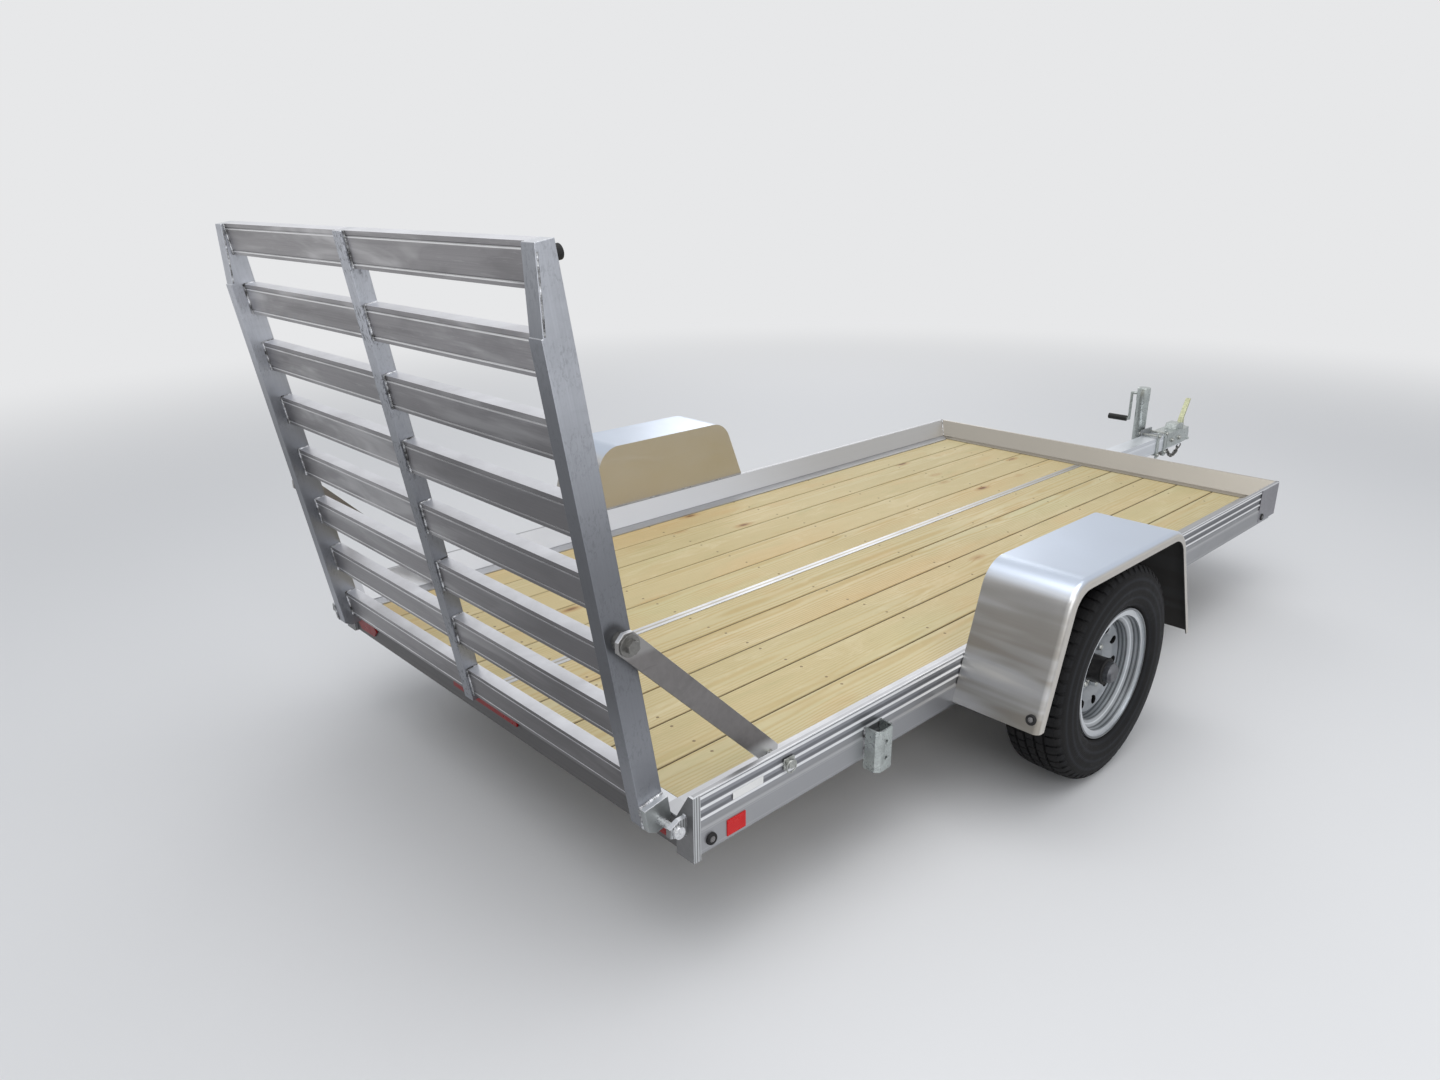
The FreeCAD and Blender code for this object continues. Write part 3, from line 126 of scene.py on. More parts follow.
class Graph:
    """A node tree to which nodes are added with their inputs and settings."""

    def __init__(self, tree):
        self.tree = tree

    def feed(self, socket, value):
        if isinstance(value, Signal):
            value = value.socket
        if isinstance(value, bpy.types.NodeSocket):
            self.tree.links.new(value, socket)
        else:
            socket.default_value = value

    def node(self, kind, inputs=None, **settings):
        made = self.tree.nodes.new("ShaderNode" + kind)
        for key, value in settings.items():
            setattr(made, key, value)
        for key, value in (inputs or {}).items():
            self.feed(made.inputs[key], value)
        return made

    def signal(self, key, kind, inputs, **settings):
        """One output of a new node, with arithmetic."""
        return Signal(self, self.node(kind, inputs, **settings).outputs[key])

    def math(self, operation, *values):
        return self.signal(0, "Math", dict(enumerate(values)), operation=operation)

    most = partialmethod(math, "MAXIMUM")
    least = partialmethod(math, "MINIMUM")
    fract = partialmethod(math, "FRACT")
    sine = partialmethod(math, "SINE")

    def length(self, one, other):
        return self.math("SQRT", one * one + other * other)


class Finish(Graph):
    """A node material around one Principled shader; its tone and bumps are laid one over another."""

    def __init__(self, name, colour, metallic, roughness, **constants):
        self.material = bpy.data.materials.new(name)
        self.material.use_nodes = True
        super().__init__(self.material.node_tree)
        self.shader = self.tree.nodes["Principled BSDF"]
        self.set("Base Color", colour)
        self.set("Metallic", metallic)
        self.set("Roughness", roughness)
        for key, value in constants.items():
            self.set(key.replace("_", " "), value)
        self.colour = colour
        self.tone = self.normal = None
        # The piece's own coordinates, which are the row frame at rest
        self.place = self.node("TexCoord").outputs["Object"]

    def set(self, name, value):
        self.feed(self.shader.inputs[name], value)

    def facing(self):
        """The surface's own direction in the piece's frame at rest."""
        return self.axes(self.node("TexCoord").outputs["Normal"])

    def axes(self, source=None):
        split = self.node("SeparateXYZ", {0: source or self.place})
        return [Signal(self, one) for one in split.outputs]

    def vector(self, x, y, z):
        return self.node("CombineXYZ", {0: x, 1: y, 2: z}).outputs[0]

    def scaled(self, scale, turn=None):
        source = self.place
        if turn:
            source = self.node("Mapping", {"Vector": source, "Rotation": turn}).outputs[0]
        return self.node("Mapping", {"Vector": source, "Scale": scale}).outputs[0]

    def noise(self, source, detail, rough, distortion=0.0):
        """Cloud noise over a vector, or over the piece's own coordinates at a scale given as a number."""
        source, scale = (self.place, source) if isinstance(source, (int, float)) else (source, 1.0)
        return self.signal("Fac", "TexNoise", {"Vector": source, "Scale": scale, "Detail": detail,
                                               "Roughness": rough, "Distortion": distortion})

    def pick(self, cell):
        """A cell's own random share."""
        return self.signal(0, "SeparateColor", {0: cell.outputs["Color"]})

    def chance(self, seed):
        """A random share for each seed."""
        return self.signal("Value", "TexWhiteNoise", {"W": seed}, noise_dimensions="1D")

    def span(self, value, low, high, to_low=0.0, to_high=1.0, smooth=False):
        limits = {"Value": value, "From Min": low, "From Max": high, "To Min": to_low, "To Max": to_high}
        return self.signal(0, "MapRange", limits, interpolation_type="SMOOTHSTEP" if smooth else "LINEAR")

    def mix(self, factor, first, second):
        return self.node("Mix", {0: factor, 6: first, 7: second}, data_type="RGBA").outputs[2]

    def lay(self, factor, colour):
        """Lay a colour over the tone."""
        self.tone = self.mix(factor, self.tone, colour)

    def own(self, share):
        """A share of the finish's own colour."""
        return shade(self.colour, share)

    def stain(self, value, low, high, most, colour, smooth=False):
        """Lay a colour over the tone, from none of it where the value is low to the most where it is high."""
        self.lay(self.span(value, low, high, 0.0, most, smooth), colour)

    def ramp(self, factor, *stops):
        made = self.node("ValToRGB", {"Fac": factor})
        elements = made.color_ramp.elements
        while len(elements) < len(stops):
            elements.new(0.5)
        for element, (position, colour) in zip(elements, stops):
            element.position = position
            element.color = colour
        return made.outputs[0]

    def bump(self, height, distance, strength):
        """Lay bumps over those laid before."""
        inputs = {"Height": height, "Distance": distance, "Strength": strength}
        if self.normal:
            inputs["Normal"] = self.normal
        self.normal = self.node("Bump", inputs).outputs[0]
        self.set("Normal", self.normal)

    def spray(self, grain):
        """Sprayed paint: fine flake under slight orange peel."""
        flake = self.signal("Distance", "TexVoronoi", {"Vector": self.place, "Scale": grain})
        self.tone = self.mix(self.span(flake, 0.1, 0.7, 0, 0.25), self.own(1.1), self.own(0.78))
        self.bump(self.noise(170, 2, 0.5), 0.0003, 0.25)

    def done(self, roughness, *limits):
        """The material, with its tone and its roughness, which may be a value spread over limits."""
        self.set("Base Color", self.tone)
        self.set("Roughness", self.span(roughness, *limits) if limits else roughness)
        return self.material


def shade(colour, share):
    return tuple(part * share for part in colour[:3]) + (1,)


def drawn_metal(name, colour, scale, roughness=0.36, grime=0.25, detail=None, turn=None,
                top=rgb(222, 224, 228), finish_top=None):
    """Extruded or rolled aluminium: die lines along one axis, oxide clouds, and painted light that brightens
    upward faces.
    """
    made = Finish(name, colour, 0.9, roughness)
    lines = made.noise(made.scaled(scale, turn), 4, 0.6)
    clouds = made.noise(5.5, 5, 0.6, 0.4)
    stains = made.noise(made.scaled((9, 9, 23)), 6, 0.68, 1.2)
    made.tone = made.ramp(clouds, (0.3, made.own(0.86)), (0.52, colour), (0.75, made.own(1.08)))
    made.stain(lines, 0.35, 0.7, 0.34, made.own(0.74))
    made.stain(stains, 0.56, 0.75, grime, made.own(0.6))
    if detail:
        detail(made)
    # Painted light: upward faces take the bright top colour, in clouds
    painted_top_light = made.span(made.facing()[2], 0.3, 0.75, 0.0, 1.0, True)
    made.lay(painted_top_light * made.span(clouds + stains * 0.5, 0.4, 0.95, 0.95, 0.6), top)
    if finish_top:
        finish_top(made, top)
    made.bump(lines, 0.00012, 0.6)
    return made.done(clouds + lines * 0.6, 0.45, 1.15, roughness - 0.07, roughness + 0.15)


def rail_detail(made):
    """Painted highlights on the ribs' slopes, lip and two lines, and painted shade on the ribbed band and in
    the grooves over and under the ribs, patchy with dust.
    """
    x, y, z = made.axes()
    outside = made.most(abs(x) - (HALF_BED - 0.004), y - (FRONT - 0.004)) > 0.0
    height = z - RAIL_LOW
    rib_foot, rib_pitch = 0.056, 0.024
    phase = made.fract((height - rib_foot) / rib_pitch)
    ribbed = (height > 0.0635) * outside
    bright = made.span(abs(phase - 0.5), 0.09, 0.13, 1.0, 0.0)
    lip = height > 0.1466
    painted_groove_shade = made.span(abs(phase - 0.8), 0.1, 0.24, 1.0, 0.0)
    dust = made.noise(made.scaled((3, 5, 60)), 5, 0.65, 0.6)
    # Painted shade over the ribbed band of the outer face
    made.lay(outside * ribbed * 0.7, made.own(0.66))
    # The outer face darker towards the front, below the lip
    ahead = made.span(y, REAR + 1.9, REAR + 2.4, 0.0, 0.65, True) * outside * (height < 0.146)
    made.lay(ahead, made.own(0.25))
    # Painted highlights on the rib slopes and along the top lip
    made.lay(made.most(bright * ribbed, lip * outside) * 0.85, rgb(246, 247, 249))
    # Painted shade in the grooves over and under the ribs, patchy with dust
    made.lay(painted_groove_shade * ribbed * (1.0 - lip) * made.span(dust, 0.25, 0.7, 0.5, 0.95), made.own(0.36))
    # Painted highlights: two thin bright lines on the flat lower face
    lines = made.least(abs(height - 0.0195), abs(height - 0.0625))
    made.lay(made.span(lines, 0.0008, 0.0016, 0.8, 0.0) * outside, rgb(246, 247, 249))
    made.lay(made.span(height, 0.0, 0.05, 0.35, 0.0) * outside * dust, made.own(0.4))


def rail_tops(made, top):
    """Painted light on the tan inner face and tops, darker towards the front; a darker top flange flat,
    painted shade on the ledge, a painted reflection ahead of the bed, and the centre strip's two raised
    edges.
    """
    x, y, z = made.axes()
    wide = abs(x)
    inside = (z > 0.354) * (wide < HALF_BED - 0.012) * (y < FRONT - 0.012) * (y > REAR + 0.05)
    # Painted light: inner faces and tops brighter, in the top colour
    made.lay(inside * 0.85, shade(top, 1.12))
    # Painted shade: inner faces darker towards the front
    made.lay(inside * made.span(y, REAR + 1.3, REAR + 2.3, 0.0, 0.5, True), rgb(158, 153, 143))
    lip = z > RAIL_TOP - 0.001
    flat = lip * made.span(abs(wide - (HALF_BED - 0.0065)), 0.0042, 0.005, 1.0, 0.0)
    made.lay(flat * 0.75, shade(top, 0.5))
    # Painted shade on the ledge beside the deck
    ledge = (z < 0.3645) * (wide > 0.685)
    made.lay(ledge * 0.7, shade(top, 0.6))
    # Painted reflection: bluish white on everything ahead of the bed
    made.lay((y > FRONT + 0.02) * 0.7, rgb(246, 250, 255))
    strip = (z < 0.3625) * (y < FRONT - 0.06)
    made.lay(strip * 0.5, shade(top, 0.62))
    made.lay(made.span(wide, 0.0028, 0.0042, 0.75, 0.0) * strip, rgb(150, 142, 120))


def brace_detail(made):
    """Rubbed bright lower end, where the bar leaves its pin."""
    z = made.axes()[2]
    made.stain(z, 0.437, 0.405, 0.9, rgb(222, 222, 222), True)
    made.stain(z, 0.735, 0.75, 0.35, rgb(190, 190, 188), True)


def below_slat_top(made, y, z):
    """Distance down the leaning gate from the top of the slat there, or of the last one above."""
    up = (z - HINGE.z) * math.cos(LEAN) - (y - HINGE.y) * math.sin(LEAN)
    return made.fract((GATE_TOP - up) / SLAT_PITCH) * SLAT_PITCH


def upright_detail(made):
    """Spatter beside the slats' welds, and painted shade: the face darkens down from the top and lightens a
    little near the foot, and the right upright's rear faces darken more.
    """
    x, y, z = made.axes()
    # Painted shade, darker downwards
    made.stain(z, 1.28, 0.86, 0.88, made.own(0.32), True)
    # Painted shade on the right upright's rear faces, more towards the bottom
    rear = made.span(made.facing()[1], -0.5, -0.9) * (x > 0.5)
    made.lay(rear * made.span(z, 1.45, 1.2, 0.35, 0.8), made.own(0.2))
    # Painted light: a little lighter again near the foot
    made.stain(z, 0.7, 0.42, 0.4, made.own(0.95), True)
    spatter = made.noise(made.scaled((170, 170, 80)), 5, 0.7, 0.8)
    near = made.span(abs(x), 0.03, 0.06, 0.9, 0.25)
    beside = near * made.span(below_slat_top(made, y, z), SLAT_HEIGHT, 0.1, 1.0, 0.2)
    made.lay(made.span(spatter, 0.52, 0.6, 0.0, 0.8) * beside, made.own(0.14))


def slat_detail(made):
    """Painted highlights on the lower lips of the two grooves with painted shade just above them, scuffs
    where tyres and loads have rubbed, a painted sheen in clouds, and painted shade over the lower rows and
    the right side.
    """
    x, y, z = made.axes()
    inside = below_slat_top(made, y, z)
    # Painted highlights on the lower lips of the two grooves
    painted_lip_highlight = made.least(abs(inside - 0.0125), abs(inside - 0.0665))
    made.lay(made.span(painted_lip_highlight, 0.0011, 0.0021, 0.9, 0.0), rgb(250, 250, 250))
    # Painted shade just above the lips
    painted_shade = made.least(abs(inside - 0.0102), abs(inside - 0.0642))
    made.lay(made.span(painted_shade, 0.0009, 0.0016, 0.7, 0.0), made.own(0.4))
    scuffs = made.noise(made.scaled((14, 60, 190), GATE_TURN), 4, 0.6, 1.5)
    made.stain(scuffs, 0.58, 0.72, 0.4, made.own(1.6))
    # Painted sheen: brighter and darker clouds over the faces
    painted_sheen = made.noise(made.scaled((2.6, 5, 17), GATE_TURN), 3, 0.5, 0.7)
    made.stain(painted_sheen, 0.5, 0.72, 0.6, rgb(214, 213, 214), True)
    made.stain(painted_sheen, 0.47, 0.3, 0.5, made.own(0.5), True)
    # Painted shade over the lower rows and towards the right
    painted_low_right_shade = made.span(z, 1.26, 1.06, 0.0, 0.8, True) * made.span(x, -0.3, 0.5, 0.25, 1.0, True)
    made.lay(painted_low_right_shade, made.own(0.36))


def cap_detail(made):
    """Painted light: the sawn outer edge brighter than the shaded faces, with the dark joint to the rail
    along it.
    """
    y = made.axes()[1]
    edge = made.span(abs(made.facing()[0]), 0.6, 0.9) * (y < REAR + 0.03)
    # Painted light on the outer edge
    made.lay(edge * 0.85, rgb(206, 208, 210))
    joint = abs(made.fract((y - REAR) / 0.0065) - 0.5)
    made.lay(made.span(joint, 0.14, 0.2, 0.75, 0.0) * edge, made.own(0.3))


def sheet_metal(name, colour):
    """Bright rolled sheet: fine brush lines and long shallow waves that bend what it reflects, with painted
    reflections in bands on the legs, painted light on outward and upward faces, and painted shade inside.
    """
    made = Finish(name, colour, 0.92, 0.3)
    brush = made.noise(made.scaled((4, 260, 700)), 3, 0.6)
    waves = made.noise(made.scaled((1.5, 4.0, 17.0)), 2.5, 0.45, 0.3)
    clouds = made.noise(4, 5, 0.6, 0.3)
    made.tone = made.ramp(clouds, (0.3, made.own(0.9)), (0.7, made.own(1.05)))
    made.stain(brush, 0.4, 0.7, 0.2, made.own(0.82))
    painted_reflection_bands = made.span(waves, 0.4, 0.6, 0, 1, True)
    out, ahead, up = made.facing()
    legs = made.span(abs(ahead), 0.3, 0.6)
    _, y, z = made.axes()
    # Painted reflection: dark warm bands on the legs, stronger low down
    made.lay(painted_reflection_bands * legs * made.span(z, 0.42, 0.62, 0.85, 0.45), rgb(146, 140, 130))
    # Painted reflection: bright bands on the legs
    made.lay(made.span(waves, 0.3, 0.42, 0.8, 0.0, True) * legs, rgb(224, 222, 216))
    # Painted light on outward faces
    made.stain(abs(out), 0.8, 0.95, 0.7, rgb(206, 200, 190))
    # Painted reflection of the sky on upward faces
    made.stain(up, 0.45, 0.85, 0.93, rgb(198, 208, 223), True)
    # Painted shade: the fender's inner faces dark
    inner = made.most(made.span(up, -0.25, -0.5), made.span((y - WHEEL_Y) * ahead, -0.03, -0.06))
    made.lay(inner * 0.94, rgb(26, 25, 25))
    made.set("Metallic", made.span(inner, 0, 1, 0.92, 0.0))
    made.bump(waves, 0.004, 0.35)
    made.bump(brush, 0.00006, 0.5)
    return made.done(made.most(made.span(clouds + brush * 0.4, 0.4, 1.0, 0.26, 0.42), inner * 0.8))


def deck_wood():
    """Flat-sawn treated softwood: every board has its own heart line, rings, fibres and knots."""
    pale = rgb(203, 190, 147)
    made = Finish("deck_wood", pale, 0.0, 0.62)
    x, y, z = made.axes()
    board = made.math("FLOOR", (abs(x) - 0.0045) / BOARD_PITCH)
    seed = board * 7.31 + made.math("SIGN", x) * 31.7
    chance, other = made.chance(seed), made.chance(seed + 4.7)
    middle = abs(x) - (board * BOARD_PITCH + 0.0755)
    along = y + seed + chance * 9.0
    drift = made.noise(made.vector(middle * 2.0, along * 0.55, seed), 3, 0.5)
    wander = made.noise(made.vector(middle * 9.0, along * 2.6, seed), 3, 0.5)
    spots = made.vector(middle * 9.0 + chance * 5, along * 3.4, seed)
    cell = made.node("TexVoronoi", {"Vector": spots, "Scale": 1.0, "Randomness": 0.9})
    knot = Signal(made, cell.outputs["Distance"]) + (made.pick(cell) < 0.8)
    bulge = made.math("EXPONENT", knot * knot * -34.0)
    radius = made.length(middle - (chance - 0.5) * 0.13, other * 0.05 + 0.022)
    rings = radius + (drift - 0.5) * 0.05 + (wander - 0.5) * 0.007 - bulge * 0.011
    late = made.math("POWER", made.sine(rings * 860.0) * 0.5 + 0.5, 2.6)
    fibre = made.noise(made.vector(x * 420.0, along * 7.0, z * 300.0), 3, 0.6)
    broad = made.noise(made.vector(x * 4.0, along * 1.4, z), 4, 0.6, 0.5)
    made.tone = made.ramp(broad, (0.25, rgb(192, 180, 136)), (0.5, pale), (0.78, rgb(216, 199, 157)))
    made.stain(chance, 0.0, 1.0, 0.4, rgb(198, 176, 124))
    made.stain(drift, 0.52, 0.72, 0.5, rgb(206, 172, 118), True)
    made.stain(drift, 0.46, 0.28, 0.5, rgb(194, 196, 148), True)
    made.stain(wander, 0.55, 0.75, 0.4, rgb(204, 168, 116), True)
    made.lay(late * made.span(other, 0, 1, 0.22, 0.5), rgb(186, 155, 98))
    made.stain(fibre, 0.5, 0.8, 0.3, rgb(176, 152, 108))
    made.stain(knot, 0.23, 0.1, 0.5, rgb(172, 126, 72), True)
    made.stain(knot, 0.125, 0.05, 0.9, rgb(112, 72, 40), True)
    mould = made.noise(made.vector(x * 14.0, along * 3.0, z), 6, 0.7, 1.0)
    made.stain(mould, 0.55, 0.75, 0.4, rgb(172, 166, 116))
    made.stain(mould, 0.45, 0.3, 0.35, rgb(226, 214, 178))
    # Painted shade along the board edges at the seams, and on the boards' sides in the gaps
    edge = abs(abs(middle) - 0.0714)
    made.lay(made.span(edge, 0.0012, 0.0036, 0.6, 0.0, True), rgb(120, 98, 62))
    made.lay(made.span(z, DECK_TOP - 0.004, DECK_TOP - 0.0004, 0.8, 0.0), rgb(78, 62, 40))
    made.bump(late, 0.0007, 0.5)
    made.bump(fibre, 0.0006, 0.55)
    return made.done(late + fibre * 0.5, 0, 1.4, 0.52, 0.74)


def zinc(name, colour, scale, roughness, metallic=0.9):
    """Hot-dip or plated zinc: spangle cells of slightly different tone."""
    made = Finish(name, colour, metallic, roughness)
    spangle = made.pick(made.node("TexVoronoi", {"Vector": made.place, "Scale": scale}))
    clouds = made.noise(14, 5, 0.62, 0.5)
    made.tone = made.mix(spangle, made.own(0.82), made.own(1.1))
    made.stain(clouds, 0.45, 0.75, 0.5, made.own(0.6))
    made.bump(clouds, 0.0005, 0.25)
    return made.done(spangle + clouds, 0.3, 1.5, roughness - 0.12, roughness + 0.16)


def rubber(name, colour, dust, roughness, dusty):
    """Moulded rubber or plastic with dust on it."""
    made = Finish(name, colour, 0.0, roughness, Specular_IOR_Level=0.35)
    fine = made.noise(420, 3, 0.6)
    clouds = made.noise(9, 6, 0.65, 0.6)
    made.tone = made.mix(made.span(clouds, 0.4, 0.75, 0, dusty), colour, dust)
    made.stain(fine, 0.5, 0.8, 0.3, dust)
    made.bump(fine, 0.0005, 0.3)
    return made.done(clouds, 0.3, 0.75, roughness - 0.1, roughness + 0.1)


def wheel_axes(made):
    """Across and up from the wheel's axis, distance from it, and distance out from the wheel's middle."""
    x, y, z = made.axes()
    across, up = y - WHEEL_Y, z - WHEEL_Z
    return across, up, made.length(across, up), abs(x) - WHEEL_X


def tyre_rubber():
    """Black rubber: moulded rings on the walls with painted bluish highlight rings over them, grey dust on
    the tread and in the shoulder grooves.
    """
    made = Finish("tyre_rubber", rgb(20, 20, 22), 0.0, 0.72, Specular_IOR_Level=0.2)
    _, _, radius, out = wheel_axes(made)
    wall = made.span(abs(out), 0.074, 0.082)
    rings = made.sine(radius * 1570.0) * 0.5 + 0.5
    broad = made.sine(radius * 262.0 + 1.3) * 0.5 + 0.5
    fine = made.noise(420, 3, 0.6)
    clouds = made.noise(13, 6, 0.7, 0.6)
    made.tone = made.mix(made.span(clouds, 0.42, 0.72, 0, 0.6), rgb(14, 14, 16), rgb(42, 41, 40))
    made.stain(fine, 0.5, 0.78, 0.3, rgb(54, 52, 50))
    # Painted highlight: bluish rings on the walls
    made.lay(wall * made.math("POWER", broad, 3.0) * 0.4, rgb(52, 54, 60))
    made.bump(rings * wall, 0.0005, 0.5)
    made.bump(fine, 0.0006, 0.4)
    return made.done(clouds, 0.3, 0.75, 0.6, 0.9)


def wheel_silver():
    """Sprayed steel wheel: painted highlights and shade for rolled steps round the barrel, painted shade
    deepening into the disc, and painted shade on the back and round the vents.
    """
    made = Finish("rim_silver", rgb(168, 172, 176), 0.75, 0.34, Coat_Weight=0.3)
    across, up, radius, out = wheel_axes(made)
    apart = math.radians(36.0)
    turn = made.fract((made.math("ARCTAN2", across, up) - math.radians(25.5)) / apart + 0.5) - 0.5
    vent = made.length(turn * (apart * VENT_CIRCLE), radius - VENT_CIRCLE)
    # Painted shade: the back of the wheel and the vents' edges are dark
    behind = made.most((out < 0.0095) * (radius > 0.098), out < -0.0006)
    painted_shade = made.most(behind, (vent < 0.0123) * (radius < 0.125))
    clouds = made.noise(17, 5, 0.65, 0.4)
    steps = abs(made.fract(out / 0.0118 + 0.2) - 0.5)
    made.spray(1400)
    made.stain(clouds, 0.45, 0.75, 0.5, made.own(0.55))
    barrel = made.span(radius, 0.128, 0.133)
    # Painted shade and painted highlights for rolled steps round the barrel
    made.lay(barrel * made.span(steps, 0.12, 0.2, 0.75, 0.0), made.own(0.3))
    made.lay(barrel * made.span(steps, 0.38, 0.46, 0.0, 0.7), rgb(226, 229, 232))
    # Painted shade deepening towards the middle of the disc
    made.stain(radius, 0.126, 0.1, 0.35, made.own(0.45))
    made.lay(painted_shade, rgb(19, 18, 18))
    made.set("Metallic", made.span(painted_shade, 0, 1, 0.75, 0.0))
    return made.done(made.most(made.span(clouds, 0.3, 0.75, 0.28, 0.48), painted_shade * 0.85))


def painted(name, colour, roughness, grain):
    """Coated paper or paint: fine flake, slight orange peel and a little road dust."""
    made = Finish(name, colour, 0.0, roughness)
    clouds = made.noise(11, 5, 0.65, 0.4)
    made.spray(grain)
    made.stain(clouds, 0.5, 0.8, 0.3, made.own(0.62))
    return made.done(clouds, 0.3, 0.75, roughness - 0.06, roughness + 0.14)


def lens(name, colour, pitch):
    """Moulded reflector plastic with small pyramids behind a smooth face."""
    made = Finish(name, colour, 0.0, 0.3, Specular_IOR_Level=0.3)
    x, y, z = made.axes()
    turns = math.tau / pitch
    ripple = made.sine((y + x) * turns) * made.sine(z * turns)
    clouds = made.noise(40, 4, 0.6)
    made.tone = made.mix(made.span(ripple, -0.6, 0.9), made.own(0.78), made.own(1.12))
    made.stain(clouds, 0.5, 0.8, 0.2, made.own(0.5))
    made.bump(ripple, 0.0003, 0.4)
    return made.done(clouds, 0.3, 0.7, 0.24, 0.42)


def bead_metal():
    """Weld bead: bright ripples with soot beside them."""
    made = Finish("weld_bead_aluminium", rgb(206, 208, 212), 0.9, 0.34)
    clouds = made.noise(60, 4, 0.6)
    fine = made.noise(900, 3, 0.6)
    made.tone = made.ramp(clouds, (0.36, rgb(58, 57, 56)), (0.5, rgb(150, 151, 153)),
                          (0.66, rgb(226, 228, 232)))
    made.bump(fine, 0.0003, 0.4)
    return made.done(clouds, 0.3, 0.7, 0.5, 0.28)


def hub_paint():
    """Grey iron hub with bright plated nuts and a duller pressed cap."""
    made = Finish("hub_iron", rgb(46, 44, 45), 0.5, 0.5)
    _, _, radius, out = wheel_axes(made)
    clouds = made.noise(46, 5, 0.62, 0.4)
    nuts = (radius > 0.044) * (out > -0.001)
    cap = out > 0.0525
    made.tone = made.ramp(clouds, (0.3, rgb(30, 29, 30)), (0.7, rgb(62, 60, 60)))
    made.lay(cap * 0.9, made.ramp(clouds, (0.3, rgb(80, 80, 84)), (0.7, rgb(128, 130, 134))))
    made.lay(nuts, made.ramp(clouds, (0.3, rgb(150, 154, 156)), (0.7, rgb(205, 208, 210))))
    made.set("Metallic", made.most(nuts, cap) * 0.5 + 0.4)
    made.bump(clouds, 0.0006, 0.3)
    return made.done(clouds, 0.3, 0.7, 0.32, 0.5)


# Scales of the grain of metal drawn lengthways, drawn crossways, and cut from plate
DIE_Y, DIE_X, SAWN = (260, 1.6, 420), (1.6, 300, 420), (90, 70, 90)
MATERIALS = {
    "mill_y": drawn_metal("mill_aluminium_lengthways", rgb(176, 178, 184), DIE_Y, detail=rail_detail,
                          top=rgb(204, 205, 208), finish_top=rail_tops),
    "mill_x": drawn_metal("mill_aluminium_crossways", rgb(176, 173, 168), DIE_X, detail=rail_detail,
                          top=rgb(184, 178, 168), finish_top=rail_tops),
    "gate_x": drawn_metal("gate_aluminium_slats", rgb(152, 150, 152), (1.8, 330, 330), 0.34,
                          detail=slat_detail, turn=GATE_TURN, top=rgb(244, 245, 250)),
    "gate_z": drawn_metal("gate_aluminium_uprights", rgb(186, 189, 196), (330, 330, 1.5), 0.35,
                          detail=upright_detail, turn=GATE_TURN),
    "plate": drawn_metal("cut_aluminium_plate", rgb(168, 172, 172), SAWN, 0.4, 0.4),
    # The end plates' darker base colour is painted shade
    "cap_plate": drawn_metal("end_plate_aluminium_painted_shade", rgb(132, 132, 133), SAWN, 0.42, 0.5, cap_detail),
    # The sill's dark base colour is painted shade
    "sill": drawn_metal("sill_aluminium_painted_shade", rgb(104, 103, 103), DIE_X, 0.42, 0.5),
    "corner": drawn_metal("corner_plate_aluminium", rgb(152, 151, 156), SAWN, 0.4, 0.4),
    "brace": drawn_metal("brace_aluminium", rgb(130, 127, 126), (60, 60, 60), 0.38, 0.5, brace_detail),
    "sheet": sheet_metal("sheet_aluminium", rgb(190, 190, 190)),
    "bead": bead_metal(),
    "screw": zinc("deck_screw_steel", rgb(146, 128, 96), 700, 0.5, 0.3),
    "bolt": zinc("plated_bolt_steel", rgb(176, 178, 174), 500, 0.34),
    "worn": zinc("worn_bolt_steel", rgb(128, 127, 124), 300, 0.4),
    "bright": zinc("bright_pin_steel", rgb(224, 225, 227), 300, 0.3),
    "galvanised": zinc("galvanised_steel", rgb(160, 163, 165), 55, 0.45),
    "zinc": zinc("zinc_plated_steel", rgb(186, 192, 190), 260, 0.32),
    "yellow": zinc("yellow_zinc", rgb(206, 208, 172), 200, 0.35, 0.7),
    "paper": painted("blank_sticker", rgb(222, 222, 220), 0.5, 700),
    "wood": deck_wood(),
    "tyre": tyre_rubber(),
    "rim": wheel_silver(),
    "hub": hub_paint(),
    "stop": rubber("black_rubber", rgb(24, 24, 25), rgb(60, 58, 56), 0.7, 0.2),
    "grip": rubber("grip_plastic", rgb(30, 31, 30), rgb(70, 70, 66), 0.5, 0.2),
    "red": lens("red_lens", rgb(206, 14, 17), 0.004),
    "dark_red": lens("dark_red_lens", rgb(140, 12, 14), 0.006),
    "marker": lens("marker_lens", rgb(118, 116, 116), 0.005),
}
